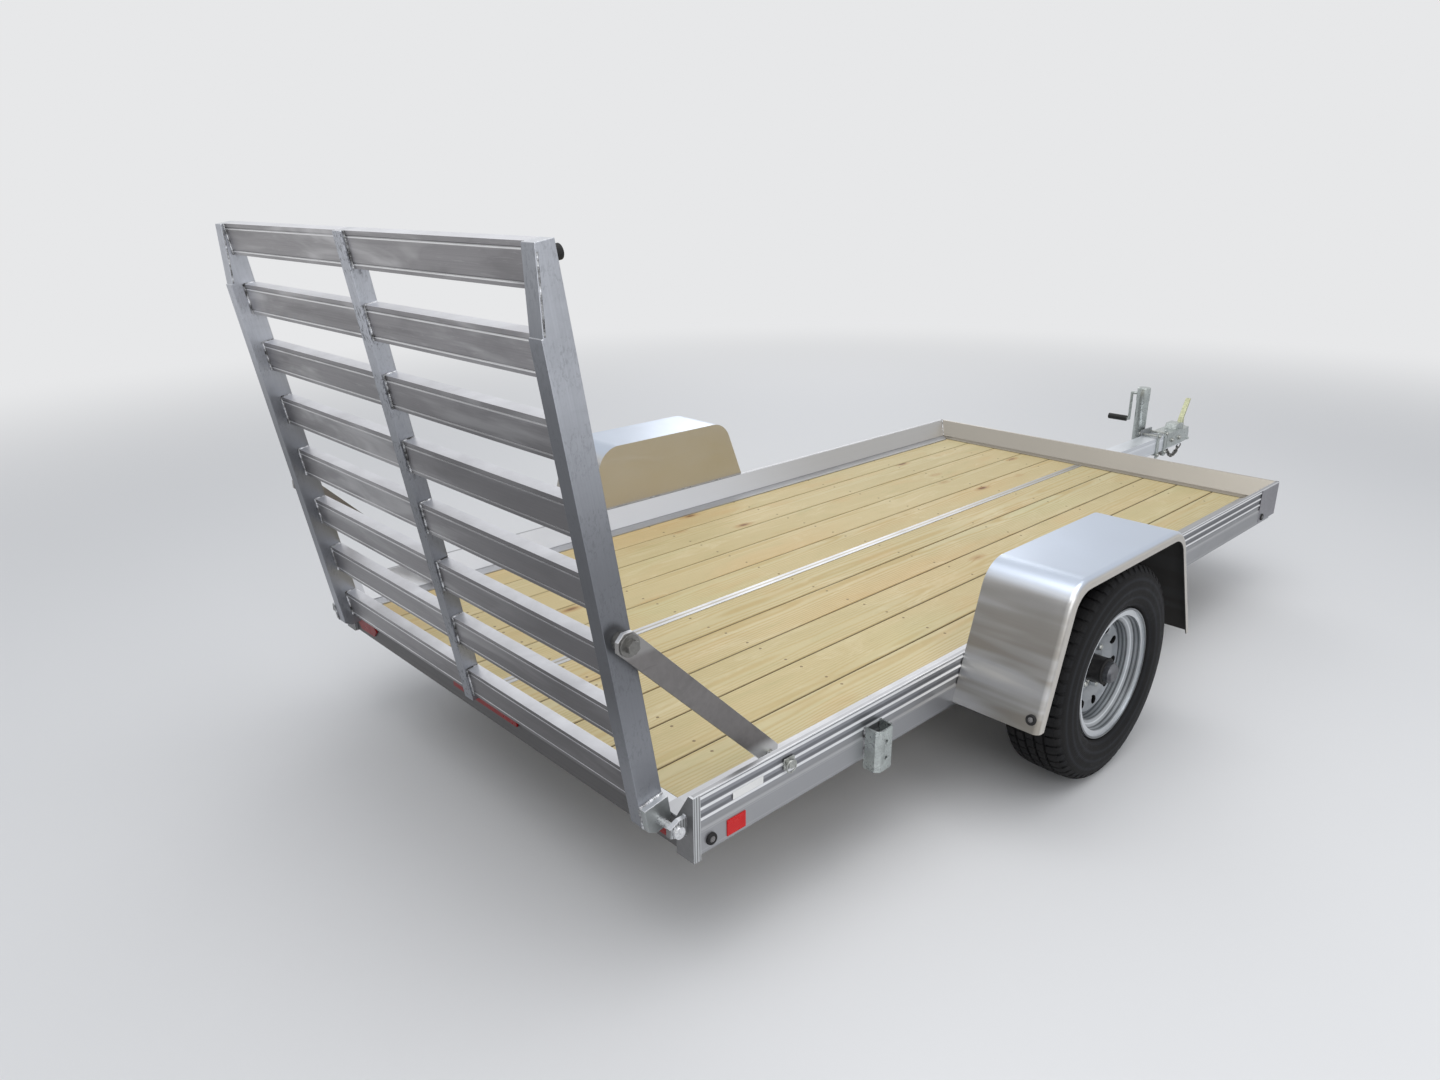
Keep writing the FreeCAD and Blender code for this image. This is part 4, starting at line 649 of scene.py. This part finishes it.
# The nodes that wear each finish, and the width in metres of their softened edges
NODE_FINISHES = {
    "mill_y": ("rail_left rail_right centre_strip tongue", 0.0006),
    "mill_x": ("front_rail crossmembers", 0.0006),
    "sill": ("rear_sill", 0.0008),
    "gate_x": ("gate_slats", 0.0009),
    "gate_z": ("gate_upright_left gate_upright_middle gate_upright_right", 0.0014),
    "plate": ("gate_hinge_blocks tongue_gussets axle_brackets", 0.001),
    "cap_plate": ("rail_end_cap_left rail_end_cap_right hinge_ears", 0.0007),
    "brace": ("brace_left brace_right", 0.001),
    "sheet": ("fender_left fender_right fender_backplate_left fender_backplate_right", 0),
    "wood": ("deck_boards_left deck_boards_right", 0),
    "galvanised": ("axle_tube torsion_arms jack_foot jack_mount", 0.0008),
    "zinc": ("coupler jack_tube jack_inner_tube jack_crank stake_pockets", 0.0006),
    "bolt": ("brace_pull_pins", 0.0005),
    "worn": ("gate_brace_bolts", 0.0005),
    "bright": ("gate_hinge_pins", 0.0005),
    "yellow": ("coupler_latch", 0.001),
    "tyre": ("tyre_left tyre_right", 0),
    "rim": ("rim_left rim_right", 0),
    "hub": ("hub_left hub_right", 0),
    "stop": ("gate_bumpers", 0),
    "grip": ("jack_grip", 0),
    "red": ("side_reflectors", 0),
    "dark_red": ("rear_lamps", 0),
    "marker": ("marker_lamps", 0),
}


def dress_nodes():
    for finish, (names, width) in NODE_FINISHES.items():
        for name in names.split():
            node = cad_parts[name]
            node.data.materials.clear()
            node.data.materials.append(MATERIALS[finish])
            if width:
                weld_points = node.modifiers.new("weld", "WELD")
                weld_points.merge_threshold = 0.00001
                flat = node.modifiers.new("flat", "DECIMATE")
                flat.decimate_type = "DISSOLVE"
                flat.angle_limit = math.radians(0.5)
                edge = node.modifiers.new("edge", "BEVEL")
                edge.width = width
                edge.segments = 2
                edge.limit_method = "ANGLE"
                edge.angle_limit = math.radians(35)
                edge.use_clamp_overlap = True


# Mesh helpers

def piece(name, parts, finish, body, smooth=True):
    """The parts as one mesh object, finished and riding on its body."""
    data = bpy.data.meshes.new(name)
    data.from_pydata([tuple(one) for one in parts.vertices], [], parts.faces)
    data.validate()
    if smooth:
        data.polygons.foreach_set("use_smooth", [True] * len(data.polygons))
    data.materials.append(MATERIALS[finish])
    made = placed(name, data)
    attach(made, body)
    return made


def ring(centre, across, beside, radius, count, start=0.0):
    """Points of a circle in the plane of across and beside."""
    return [centre + (across * math.cos(a) + beside * math.sin(a)) * radius
            for a in (math.tau * k / count + start for k in range(count))]


class Parts:
    """Vertices and faces gathered from many small shapes into one mesh."""

    def __init__(self):
        self.vertices = []
        self.faces = []

    def grid(self, rows, close_rows=False, close_columns=False):
        """Quads over rows of points; close_rows joins each row's ends, close_columns last row and first."""
        first, high, wide = len(self.vertices), len(rows), len(rows[0])
        for row in rows:
            self.vertices.extend(row)
        for r in range(high if close_columns else high - 1):
            near, far = first + r * wide, first + (r + 1) % high * wide
            for c in range(wide if close_rows else wide - 1):
                beside = (c + 1) % wide
                self.faces.append((near + c, near + beside, far + beside, far + c))

    def fan(self, points):
        first = len(self.vertices)
        self.vertices.extend(points)
        self.faces.append(tuple(range(first, first + len(points))))

    def tube(self, rows, start=True, end=True):
        """Rings joined one to the next, with a flat end at the start and at the end."""
        self.grid(rows, close_rows=True)
        if start:
            self.fan(rows[0][::-1])
        if end:
            self.fan(rows[-1])

    def turned(self, profile, origin, axis, count=16, start=True, end=True, turn=0.0):
        """Profile of (along, radius) in millimetres, turned about an axis through origin."""
        origin, axis = Vector(origin), Vector(axis).normalized()
        across = axis.orthogonal().normalized()
        beside = axis.cross(across)
        self.tube([ring(origin + axis * (along / 1000), across, beside, radius / 1000, count, turn)
                   for along, radius in profile], start, end)


def screw(parts, place, axis, radius, height):
    """Domed head with a small dark recess."""
    profile = ((0, 1), (0.55, 0.96), (1, 0.6), (1, 0.36), (0.45, 0.3))
    parts.turned([(height * up, radius * out) for up, out in profile], place, axis, 14, False)


def hexagon(parts, place, axis, across, height, turn=0.0):
    """Hexagon head or nut with its corners turned off."""
    half = across / 2
    parts.turned([(0, half), (height * 0.82, half), (height, half * 0.86)], place, axis, 6, False, turn=turn)


def weld(parts, start, end, radius, lift):
    """A laid bead: overlapping ripples along a seam, standing off it along lift."""
    pitch = 0.0042
    lift = Vector(lift).normalized()
    run = end - start
    steps = max(2, int(run.length / (pitch / 5)))
    side = run.normalized().cross(lift)
    rows = []
    for step in range(steps + 1):
        gone = run.length * step / steps
        size = radius * (0.8 + 0.26 * math.sqrt(max(0.0, math.sin(math.pi * (gone / pitch % 1.0)))))
        size *= 1 + 0.06 * math.sin(gone * 310)
        rows.append(ring(start + run * (step / steps), side, lift * 0.75, size, 8))
    parts.tube(rows)


def on_gate(x, y, z):
    """A point given in the leaning gate's own frame."""
    return HINGE + Matrix.Rotation(LEAN, 3, "X") @ Vector((x, y, z))


def curve_through(points, steps):
    """Catmull-Rom points through a list of 2-D points."""
    padded = [points[0], *points, points[-1]]
    made = []
    for around in zip(padded, padded[1:], padded[2:], padded[3:]):
        for t in (k / steps for k in range(steps)):
            made.append([0.5 * (2 * b + (c - a) * t + (2 * a - 5 * b + 4 * c - d) * t * t
                                + (3 * b - a - 3 * c + d) * t ** 3) for a, b, c, d in zip(*around)])
    return made + [points[-1]]


# Wheels

CROWN = curve_through([(0, 305), (28, 304.8), (50, 303.4), (63, 301.0), (70, 297.2), (75, 291.5), (79, 283.5),
                       (82.5, 273), (85.3, 262), (87.2, 250)], 6)
CROWN_LENGTH = [0.0]
for one, two in zip(CROWN, CROWN[1:]):
    CROWN_LENGTH.append(CROWN_LENGTH[-1] + math.dist(one, two))


def on_crown(distance, rise):
    """Half-width and radius at a distance over the tread from its middle, rise above the outer surface."""
    sign = 1 if distance >= 0 else -1
    distance = min(abs(distance), CROWN_LENGTH[-1] - 0.01)
    i = min(bisect.bisect_right(CROWN_LENGTH, distance), len(CROWN) - 1)
    share = (distance - CROWN_LENGTH[i - 1]) / (CROWN_LENGTH[i] - CROWN_LENGTH[i - 1])
    (u, radius), (next_u, next_radius) = CROWN[i - 1:i + 1]
    du, dr = next_u - u, next_radius - radius
    size = math.hypot(du, dr)
    return sign * (u + du * share - dr / size * rise), radius + dr * share + du / size * rise


def wheel_point(sign, u, radius, angle):
    """A point of the wheel from millimetres across and out; the angle is counted from the top forwards."""
    return Vector((sign * (WHEEL_X + u / 1000), WHEEL_Y + radius / 1000 * math.sin(angle),
                   WHEEL_Z + radius / 1000 * math.cos(angle)))


def tread_block(parts, sign, corners, depth, pitch_angle, start):
    """One tread block: corners are (share of the pitch, distance across), two on each long side."""
    (s0, v0), (s1, v1), (s2, v2), (s3, v3) = corners
    along, over = 4, max(2, int(abs(v3 - v0) / 6))

    def point(a, b, rise):
        s = (s0 + (s1 - s0) * a) * (1 - b) + (s3 + (s2 - s3) * a) * b
        v = (v0 + (v1 - v0) * a) * (1 - b) + (v3 + (v2 - v3) * a) * b
        u, radius = on_crown(v, rise)
        return wheel_point(sign, u, radius, start + s * pitch_angle)

    def edge(inset, rise):
        """The block's outline, drawn in from its edges by a share."""
        low, high = inset * 1.2, 1 - inset * 1.2
        ends = [(inset, low), (1 - inset, low), (1 - inset, high), (inset, high), (inset, low)]
        made = []
        for (a, b), (next_a, next_b), count in zip(ends, ends[1:], (along, over, along, over)):
            for k in range(count):
                made.append(point(a + (next_a - a) * k / count, b + (next_b - b) * k / count, rise))
        return made

    parts.grid([edge(0, -depth), edge(0.0, -0.8), edge(0.035, 0)], close_rows=True)
    parts.grid([[point(0.035 + 0.93 * k / along, 0.042 + 0.916 * j / over, 0) for k in range(along + 1)]
                for j in range(over + 1)])


# Tread blocks on each side of the middle row: depth, then corners as (share of the pitch, millimetres across)
TREAD_BLOCKS = (
    (7.2, ((0.05, 16.5), (0.95, 18.5), (0.83, 38), (-0.07, 36))),
    (7.0, ((0.08, 43.5), (0.92, 44.5), (0.9, 71), (0.1, 71))),
    (3.0, ((0.14, 70), (0.86, 70), (0.78, 90), (0.22, 90))),
)


def build_tyre(side, sign):
    """Tread and side walls of one tyre, which take the place of the plain one."""
    parts = Parts()
    half = []
    for step in range(23):
        distance = step * 4.6
        sunk = -7.0 if distance < 66 else -7.0 + 7.0 * min(1, (distance - 66) / 26)
        half.append(on_crown(distance, sunk))
    wall = curve_through([(87.9, 243), (88.4, 230), (87.4, 216), (84.4, 203.5), (79.4, 194), (73.2, 188.6),
                          (67.4, 186.2), (65.6, 183.2), (65.4, 176)], 4)
    for u, radius in wall:
        ridge = 0.9 * max(0, 1 - abs(radius - 222) / 1.6) + 0.9 * max(0, 1 - abs(radius - 198) / 1.3)
        half.append((min(u + ridge, 88.45), radius))
    profile = [(-u, r) for u, r in reversed(half)] + half[1:]
    count, pitches = 224, 58
    parts.grid([[wheel_point(sign, u, r, math.tau * k / count) for k in range(count)] for u, r in profile],
               close_rows=True)
    step = math.tau / pitches
    middle = ((0.03, -10.5), (0.97, -8.5), (0.97, 10.5), (0.03, 8.5))
    for k in range(pitches):
        tread_block(parts, sign, middle, 7.2, step, k * step)
        for hand, shift in ((-1, step * 0.5), (1, 0.0)):
            for depth, corners in TREAD_BLOCKS:
                handed = [(share, hand * over) for share, over in corners]
                tread_block(parts, sign, handed, depth, step, k * step + shift)
    made = piece("tyre_tread_" + side, parts, "tyre", "wheel_" + side)
    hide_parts("tyre_" + side)


# Seams, screws and small fittings

def bed(x, y, z):
    """A point by its station along the bed."""
    return Vector((x, REAR + y, z))


def build_gate_seams():
    """Seams of the slats, the hinge blocks and the cut tops of the outer uprights."""
    parts = Parts()
    rear, front = -0.001, 0.029

    def seam(start, end, size, lift):
        weld(parts, on_gate(*start), on_gate(*end), BEAD * size, lift)

    for sign in (-1, 1):
        for index in range(8):
            high = GATE_TOP - SLAT_PITCH * index
            for edge, toward in ((0.019, 1), (0.666, -1)):
                x, y = sign * (edge + toward * BEAD * 0.4), rear - BEAD * 0.4
                seam((x, y, high - SLAT_HEIGHT), (x, y, high), 1, (sign * toward, -1, 0))
                if index:
                    seam((x, rear, high), (x, front - BEAD, high), 0.8, (sign * toward, 0, 1))
        x = sign * (0.704 + BEAD * 0.5)
        seam((x, -0.03, 0.04), (x, 0.028, 0.04), 1.3, (sign, 0, 1))
        seam((x, -0.031, 0.038), (x, -0.031, -0.01), 1, (sign, -1, 0))
        for x, toward in ((0.7035, sign), (0.6665, -sign)):
            seam((sign * x, -0.0235, 0.975), (sign * x, -0.007, 1.102), 0.7, (toward, 0, 0))
    piece("gate_weld_beads", parts, "bead", "gate")


def build_frame_seams():
    """Seams of the tongue, fenders, hinge ears and rail corners, the same on both sides."""
    parts = Parts()
    x, y = TONGUE_HALF + BEAD * 0.5, BED_LENGTH + BEAD * 0.5
    foot, lip, skin = TONGUE_LOW + 0.007, RAIL_TOP - 0.001, HALF_BED + 0.0005
    # Start and end, share of the usual bead, and lift
    seams = [
        ((x, y, TONGUE_LOW), (x, y, TONGUE_TOP), 1.4, (1, 1, 0)),
        ((TONGUE_HALF, y + 0.12, foot), (x, y, foot), 1, (1, 0, 1)),
        ((x, y, foot), (0.158, y, foot), 1, (0, 1, 1)),
        ((0.779, 3.089, RAIL_TOP), (0.789, 3.099, RAIL_TOP), 0.7, (0, 0, 1)),
        ((0.742, 3.052, 0.366), (0.778, 3.088, lip), 1, (-1, -1, 1)),
        ((0.742, 0.008, 0.371), (0.742, 0.052, 0.371), 1, (-1, 0, 1)),
    ]
    for station, toward in ((0.527, -1), (0.587, 1)):
        seams.append(((skin, station, RAIL_LOW + 0.02), (skin, station, 0.373), 1, (1, toward, 0)))
    for height in (-0.021, 0.021):
        z = HINGE.z + height
        seams.append(((0.763, -0.001, z), (0.773, -0.001, z), 1, (0, -1, height)))
    for station in (1.04, 1.2, 1.36, 1.52):
        seams.append(((skin, station, lip), (skin, station + 0.05, lip), 0.9, (-1, 0, 1)))
    for sign in (-1, 1):
        for start, end, size, lift in seams:
            mirrored = [(sign * across, along, up) for across, along, up in (start, end, lift)]
            weld(parts, bed(*mirrored[0]), bed(*mirrored[1]), BEAD * size, mirrored[2])
    weld(parts, bed(-TONGUE_HALF, y, TONGUE_TOP), bed(TONGUE_HALF, y, TONGUE_TOP), BEAD * 1.4, (0, 1, 1))
    piece("frame_weld_beads", parts, "bead", "frame")


def build_deck_screws():
    parts = Parts()
    for sign in (-1, 1):
        for board in range(5):
            middle = 0.647 if board == 4 else 0.076 + BOARD_PITCH * board
            for row in range(7):
                for offset in (-0.043, 0.043):
                    x = sign * (middle + offset + random.uniform(-0.004, 0.004))
                    y = 0.23 + 0.44 * row + random.uniform(-0.006, 0.006)
                    screw(parts, bed(x, y, DECK_TOP - 0.0004), (0, 0, 1), 4.2, 0.9)
    piece("deck_screws", parts, "screw", "frame")


def lamp(lenses, rings, place, axis):
    """Domed lens in a soft black grommet."""
    lenses.turned([(0, 6.8), (5.2, 6.8), (6.6, 5.6), (7.2, 3), (7.4, 0.4)], place, axis, 28)
    rings.turned([(0, 13.5), (3.5, 13.3), (5.8, 12.2), (6.6, 10.4), (6.2, 8.4), (4.8, 6.8), (3, 6.6)],
                 place, axis, 32, False, False)


def build_lamps():
    lenses, rings = Parts(), Parts()
    leg = Vector((0, 113, 353)).normalized()
    rear = Vector((0, -leg.z, leg.y))
    for sign in (-1, 1):
        for station in (0.048, 2.957):
            lamp(lenses, rings, bed(sign * HALF_BED, station, 0.317), (sign, 0, 0))
        foot = bed(sign * 1.0035, 0.882 + 0.113 * 0.031 / 0.353, 0.335)
        lamp(lenses, rings, foot + rear * 0.0002, rear)
    piece("marker_lenses", lenses, "marker", "frame")
    piece("marker_grommets", rings, "stop", "frame")


def slab(parts, outline, place, sign, thick, soft):
    """A thin plate that faces left or right, from its outline in y and z, with softened front edges."""
    middles, halves = [], []
    for values in zip(*outline):
        middles.append(sum(values) / len(values))
        halves.append(max(abs(value - middles[-1]) for value in values))
    rows = []
    for height, inset in ((0, 0), (thick - soft, 0), (thick - soft * 0.3, soft * 0.3), (thick, soft)):
        row = []
        for point in outline:
            y, z = (middle + (value - middle) * (1 - inset / half)
                    for value, middle, half in zip(point, middles, halves))
            row.append(Vector(place) + Vector((sign * height, y, z)))
        rows.append(row if sign > 0 else row[::-1])
    parts.tube(rows, start=False)


def rounded(low_u, low_v, high_u, high_v, radius):
    """Rounded rectangle, counter-clockwise."""
    points = []
    for u, v, start in ((high_u - radius, low_v + radius, -90), (high_u - radius, high_v - radius, 0),
                        (low_u + radius, high_v - radius, 90), (low_u + radius, low_v + radius, 180)):
        for step in range(6):
            angle = math.radians(start + 18 * step)
            points.append((u + radius * math.cos(angle), v + radius * math.sin(angle)))
    return points


def build_labels():
    """A blank sticker on the near rail."""
    parts = Parts()
    slab(parts, rounded(0.109, 0.377, 0.196, 0.395, 0.002), (HALF_BED + 0.0001, REAR, 0), 1, 0.0004, 0.0001)
    piece("blank_stickers", parts, "paper", "frame", False)


def build_corner_plates():
    """Smooth folded plates round the two front corners, over the ribs."""
    parts = Parts()
    wide, long = HALF_BED + 0.002, BED_LENGTH + 0.002
    path = [(0.79, 2.928), (0.7916, 2.930), (wide, 2.934), (wide, 3.096), (0.7908, 3.1005), (0.7865, long),
            (0.664, long), (0.66, 3.1016), (0.658, 3.1)]
    for sign in (-1, 1):
        rows = []
        for z, inset in ((RAIL_LOW + 0.019, 0.0018), (RAIL_LOW + 0.021, 0.0), (RAIL_TOP - 0.003, 0.0),
                         (RAIL_TOP - 0.001, 0.0018)):
            row = []
            for x, y in path:
                x = min(x, wide - inset) if x > 0.785 else x
                y = min(y, long - inset) if y > 3.09 else y
                row.append(bed(sign * x, y, z))
            rows.append(row if sign > 0 else row[::-1])
        parts.grid(rows)
    piece("front_corner_plates", parts, "corner", "frame", False)


def build_tongue_fittings():
    """Clamp bolts and straps of the jack, through bolts of the coupler, and the latch's pivot."""
    bolts, straps = Parts(), Parts()
    jack = TONGUE_END - 0.235
    for offset in (-0.042, 0.042):
        for z in (TONGUE_TOP + 0.008, TONGUE_LOW - 0.008):
            centre = bed(-0.046, jack + offset, z)
            bolts.turned([(-12, 5.2), (-11, 6), (92, 6), (95, 5.2)], centre, (1, 0, 0), 12)
            hexagon(bolts, centre, (-1, 0, 0), 19, 8)
            hexagon(bolts, centre + Vector((0.089, 0, 0)), (1, 0, 0), 19, 8)
        slab(straps, rounded(-0.013, -0.065, 0.013, 0.065, 0.004), bed(TONGUE_HALF, jack + offset, 0.33),
             1, 0.005, 0.0012)
    for sign in (-1, 1):
        for back in (0.04, 0.12):
            place = bed(sign * 0.042, TONGUE_END - back, 0.332)
            bolts.turned([(0, 13.5), (1.4, 13.5), (2, 12.8)], place, (sign, 0, 0), 20, False)
            hexagon(bolts, place + Vector((sign * 0.002, 0, 0)), (sign, 0, 0), 18.5, 9, 0.3)
        place = bed(sign * 0.011, TONGUE_END + 0.058, TONGUE_TOP + 0.012)
        bolts.turned([(0, 6), (5, 6), (6.2, 5)], place, (sign, 0, 0), 16, False)
    piece("tongue_bolts", bolts, "bolt", "frame")
    piece("jack_clamp_straps", straps, "zinc", "frame")


def link(parts, centre, along, side):
    """One chain link: a wire bent to a long ring."""
    length, width, wire = 0.034, 0.021, 0.0032
    bend = width / 2 - wire
    path = []
    for k in range(20):
        angle = math.tau * k / 20
        shift = math.copysign((length - width) / 2, math.cos(angle))
        path.append(along * (math.cos(angle) * bend + shift) + side * math.sin(angle) * bend)
    normal = along.cross(side)
    rows = []
    for k, point in enumerate(path):
        ahead = (path[(k + 1) % 20] - path[k - 1]).normalized()
        rows.append(ring(centre + point, ahead.cross(normal), normal, wire, 8))
    parts.grid(rows, close_rows=True, close_columns=True)


def build_safety_chains():
    """Two short chains looped up under the tongue's front end."""
    parts = Parts()
    count, flat = 10, Vector((1, 0, 0))
    for sign in (-1, 1):
        start, end = bed(sign * 0.022, 3.875, 0.29), bed(sign * 0.026, 4.02, 0.286)
        points = []
        for k in range(count + 1):
            t = k / count
            points.append(start.lerp(end, t) - Vector((0, 0, 0.2 * t * (1 - t))))
        for k, (one, two) in enumerate(zip(points, points[1:])):
            ahead = (two - one).normalized()
            link(parts, (one + two) / 2, ahead, flat if k % 2 else ahead.cross(flat).normalized())
    piece("safety_chains", parts, "worn", "frame")


def build_pin_rings():
    """Pull rings that hang from the heads of the brace pins, and the plates behind the heads."""
    parts = Parts()
    radius, wire, station, height = 0.0145, 0.0016, 0.273, 0.393
    for sign in (-1, 1):
        centre = bed(sign * 0.7985, station, height - 0.006)
        rows = []
        for k in range(28):
            angle = math.tau * k / 28
            out = Vector((0, math.sin(angle), math.cos(angle)))
            rows.append(ring(centre + out * radius, out, Vector((sign, 0, 0)), wire, 8))
        parts.grid(rows, close_rows=True, close_columns=True)
        slab(parts, rounded(-0.016, -0.013, 0.016, 0.013, 0.003), bed(sign * HALF_BED, station, height),
             sign, 0.0025, 0.0008)
    piece("brace_pin_rings", parts, "bolt", "frame")


def build_wheel_fittings(side, sign):
    """Chamfered nut ends, valve stem and the rolled edge of the dust cap."""
    caps, seals = Parts(), Parts()
    out = Vector((sign, 0, 0))
    for k in range(5):
        centre = wheel_point(sign, 22, 57.15, math.pi / 2 - math.tau * k / 5)
        caps.turned([(-1, 9.2), (1.2, 8.6), (3.6, 5.8), (4.2, 3.5)], centre, out, 20)
        caps.turned([(-22.1, 13.5), (-19.5, 12.8), (-16.5, 10.8)], centre, out, 20, False, False)
    piece("lug_nut_caps_" + side, caps, "bolt", "wheel_" + side)
    valve = math.radians(275)
    inward = (wheel_point(sign, 0, 0, 0) - wheel_point(sign, 0, 150, valve)).normalized()
    seals.turned([(-12, 7.2), (0, 7), (6, 5.2), (12, 4.2), (12.5, 4.8), (21, 4.8), (22.2, 3.6)],
                 wheel_point(sign, 38, 150, valve), out * 0.95 + inward * 0.3)
    seals.turned([(-4, 36.2), (-1, 37.5), (2, 37.5), (3.6, 35.5), (3.6, 29)],
                 wheel_point(sign, 52, 0, 0), out, 40, False, False)
    piece("valve_and_seal_" + side, seals, "stop", "wheel_" + side)


# Light, floor and backdrop

BACKDROP = (0.80, 0.805, 0.815, 1)


def build_stage():
    """A flat sky that lights less than it shows, a floor that fades into it, and three soft lights."""
    world = bpy.data.worlds.new("studio")
    bpy.context.scene.world = world
    world.use_nodes = True
    sky = Graph(world.node_tree)
    sky.tree.nodes.clear()
    rays = sky.node("LightPath").outputs
    seen = sky.most(rays["Is Camera Ray"], sky.most(rays["Is Glossy Ray"], rays["Is Transmission Ray"]))
    light = sky.node("Background", {"Color": (0.9, 0.94, 1.0, 1), "Strength": 0.5})
    shown = sky.node("Background", {"Color": BACKDROP, "Strength": 1.0})
    blend = sky.node("MixShader", {0: seen, 1: light.outputs[0], 2: shown.outputs[0]})
    sky.node("OutputWorld", {"Surface": blend.outputs[0]})

    data = bpy.data.meshes.new("studio_floor")
    data.from_pydata([(-40, -40, 0), (40, -40, 0), (40, 40, 0), (-40, 40, 0)], [], [(0, 1, 2, 3)])
    floor = placed("studio_floor", data)
    made = Finish("studio_floor", (0.76, 0.76, 0.765, 1), 0.0, 0.7)
    x, y, _ = made.axes()
    rays = made.node("LightPath").outputs
    eye = made.most(rays["Is Camera Ray"], rays["Is Glossy Ray"])
    share = made.span(made.length(x, y), 3.2, 8.5, 0, 1, True) * eye
    glow = made.node("Emission", {"Color": BACKDROP, "Strength": 1.0})
    joint = made.node("MixShader", {0: share, 1: made.shader.outputs[0], 2: glow.outputs[0]})
    made.tree.links.new(joint.outputs[0], made.tree.nodes["Material Output"].inputs["Surface"])
    data.materials.append(made.material)

    for name, place, size, power in (
        ("key", (1.2, -1.6, 5.2), 5.0, 150),
        ("side", (5.0, -3.2, 2.8), 3.4, 70),
        ("back", (-4.0, 4.0, 3.6), 3.4, 60),
    ):
        data = bpy.data.lights.new(name, "AREA")
        data.shape = "SQUARE"
        data.size = size
        data.energy = power
        light = placed(name, data)
        light.location = place
        light.rotation_euler = (Vector((0, -0.4, 0.4)) - Vector(place)).to_track_quat("-Z", "Y").to_euler()


bpy.context.scene.view_settings.view_transform = "Standard"
build_camera()
build_stage()
dress_nodes()
for wheel_side, wheel_sign in SIDES:
    build_tyre(wheel_side, wheel_sign)
    build_wheel_fittings(wheel_side, wheel_sign)
build_gate_seams()
build_frame_seams()
build_deck_screws()
build_lamps()
build_labels()
build_corner_plates()
build_tongue_fittings()
build_safety_chains()
build_pin_rings()
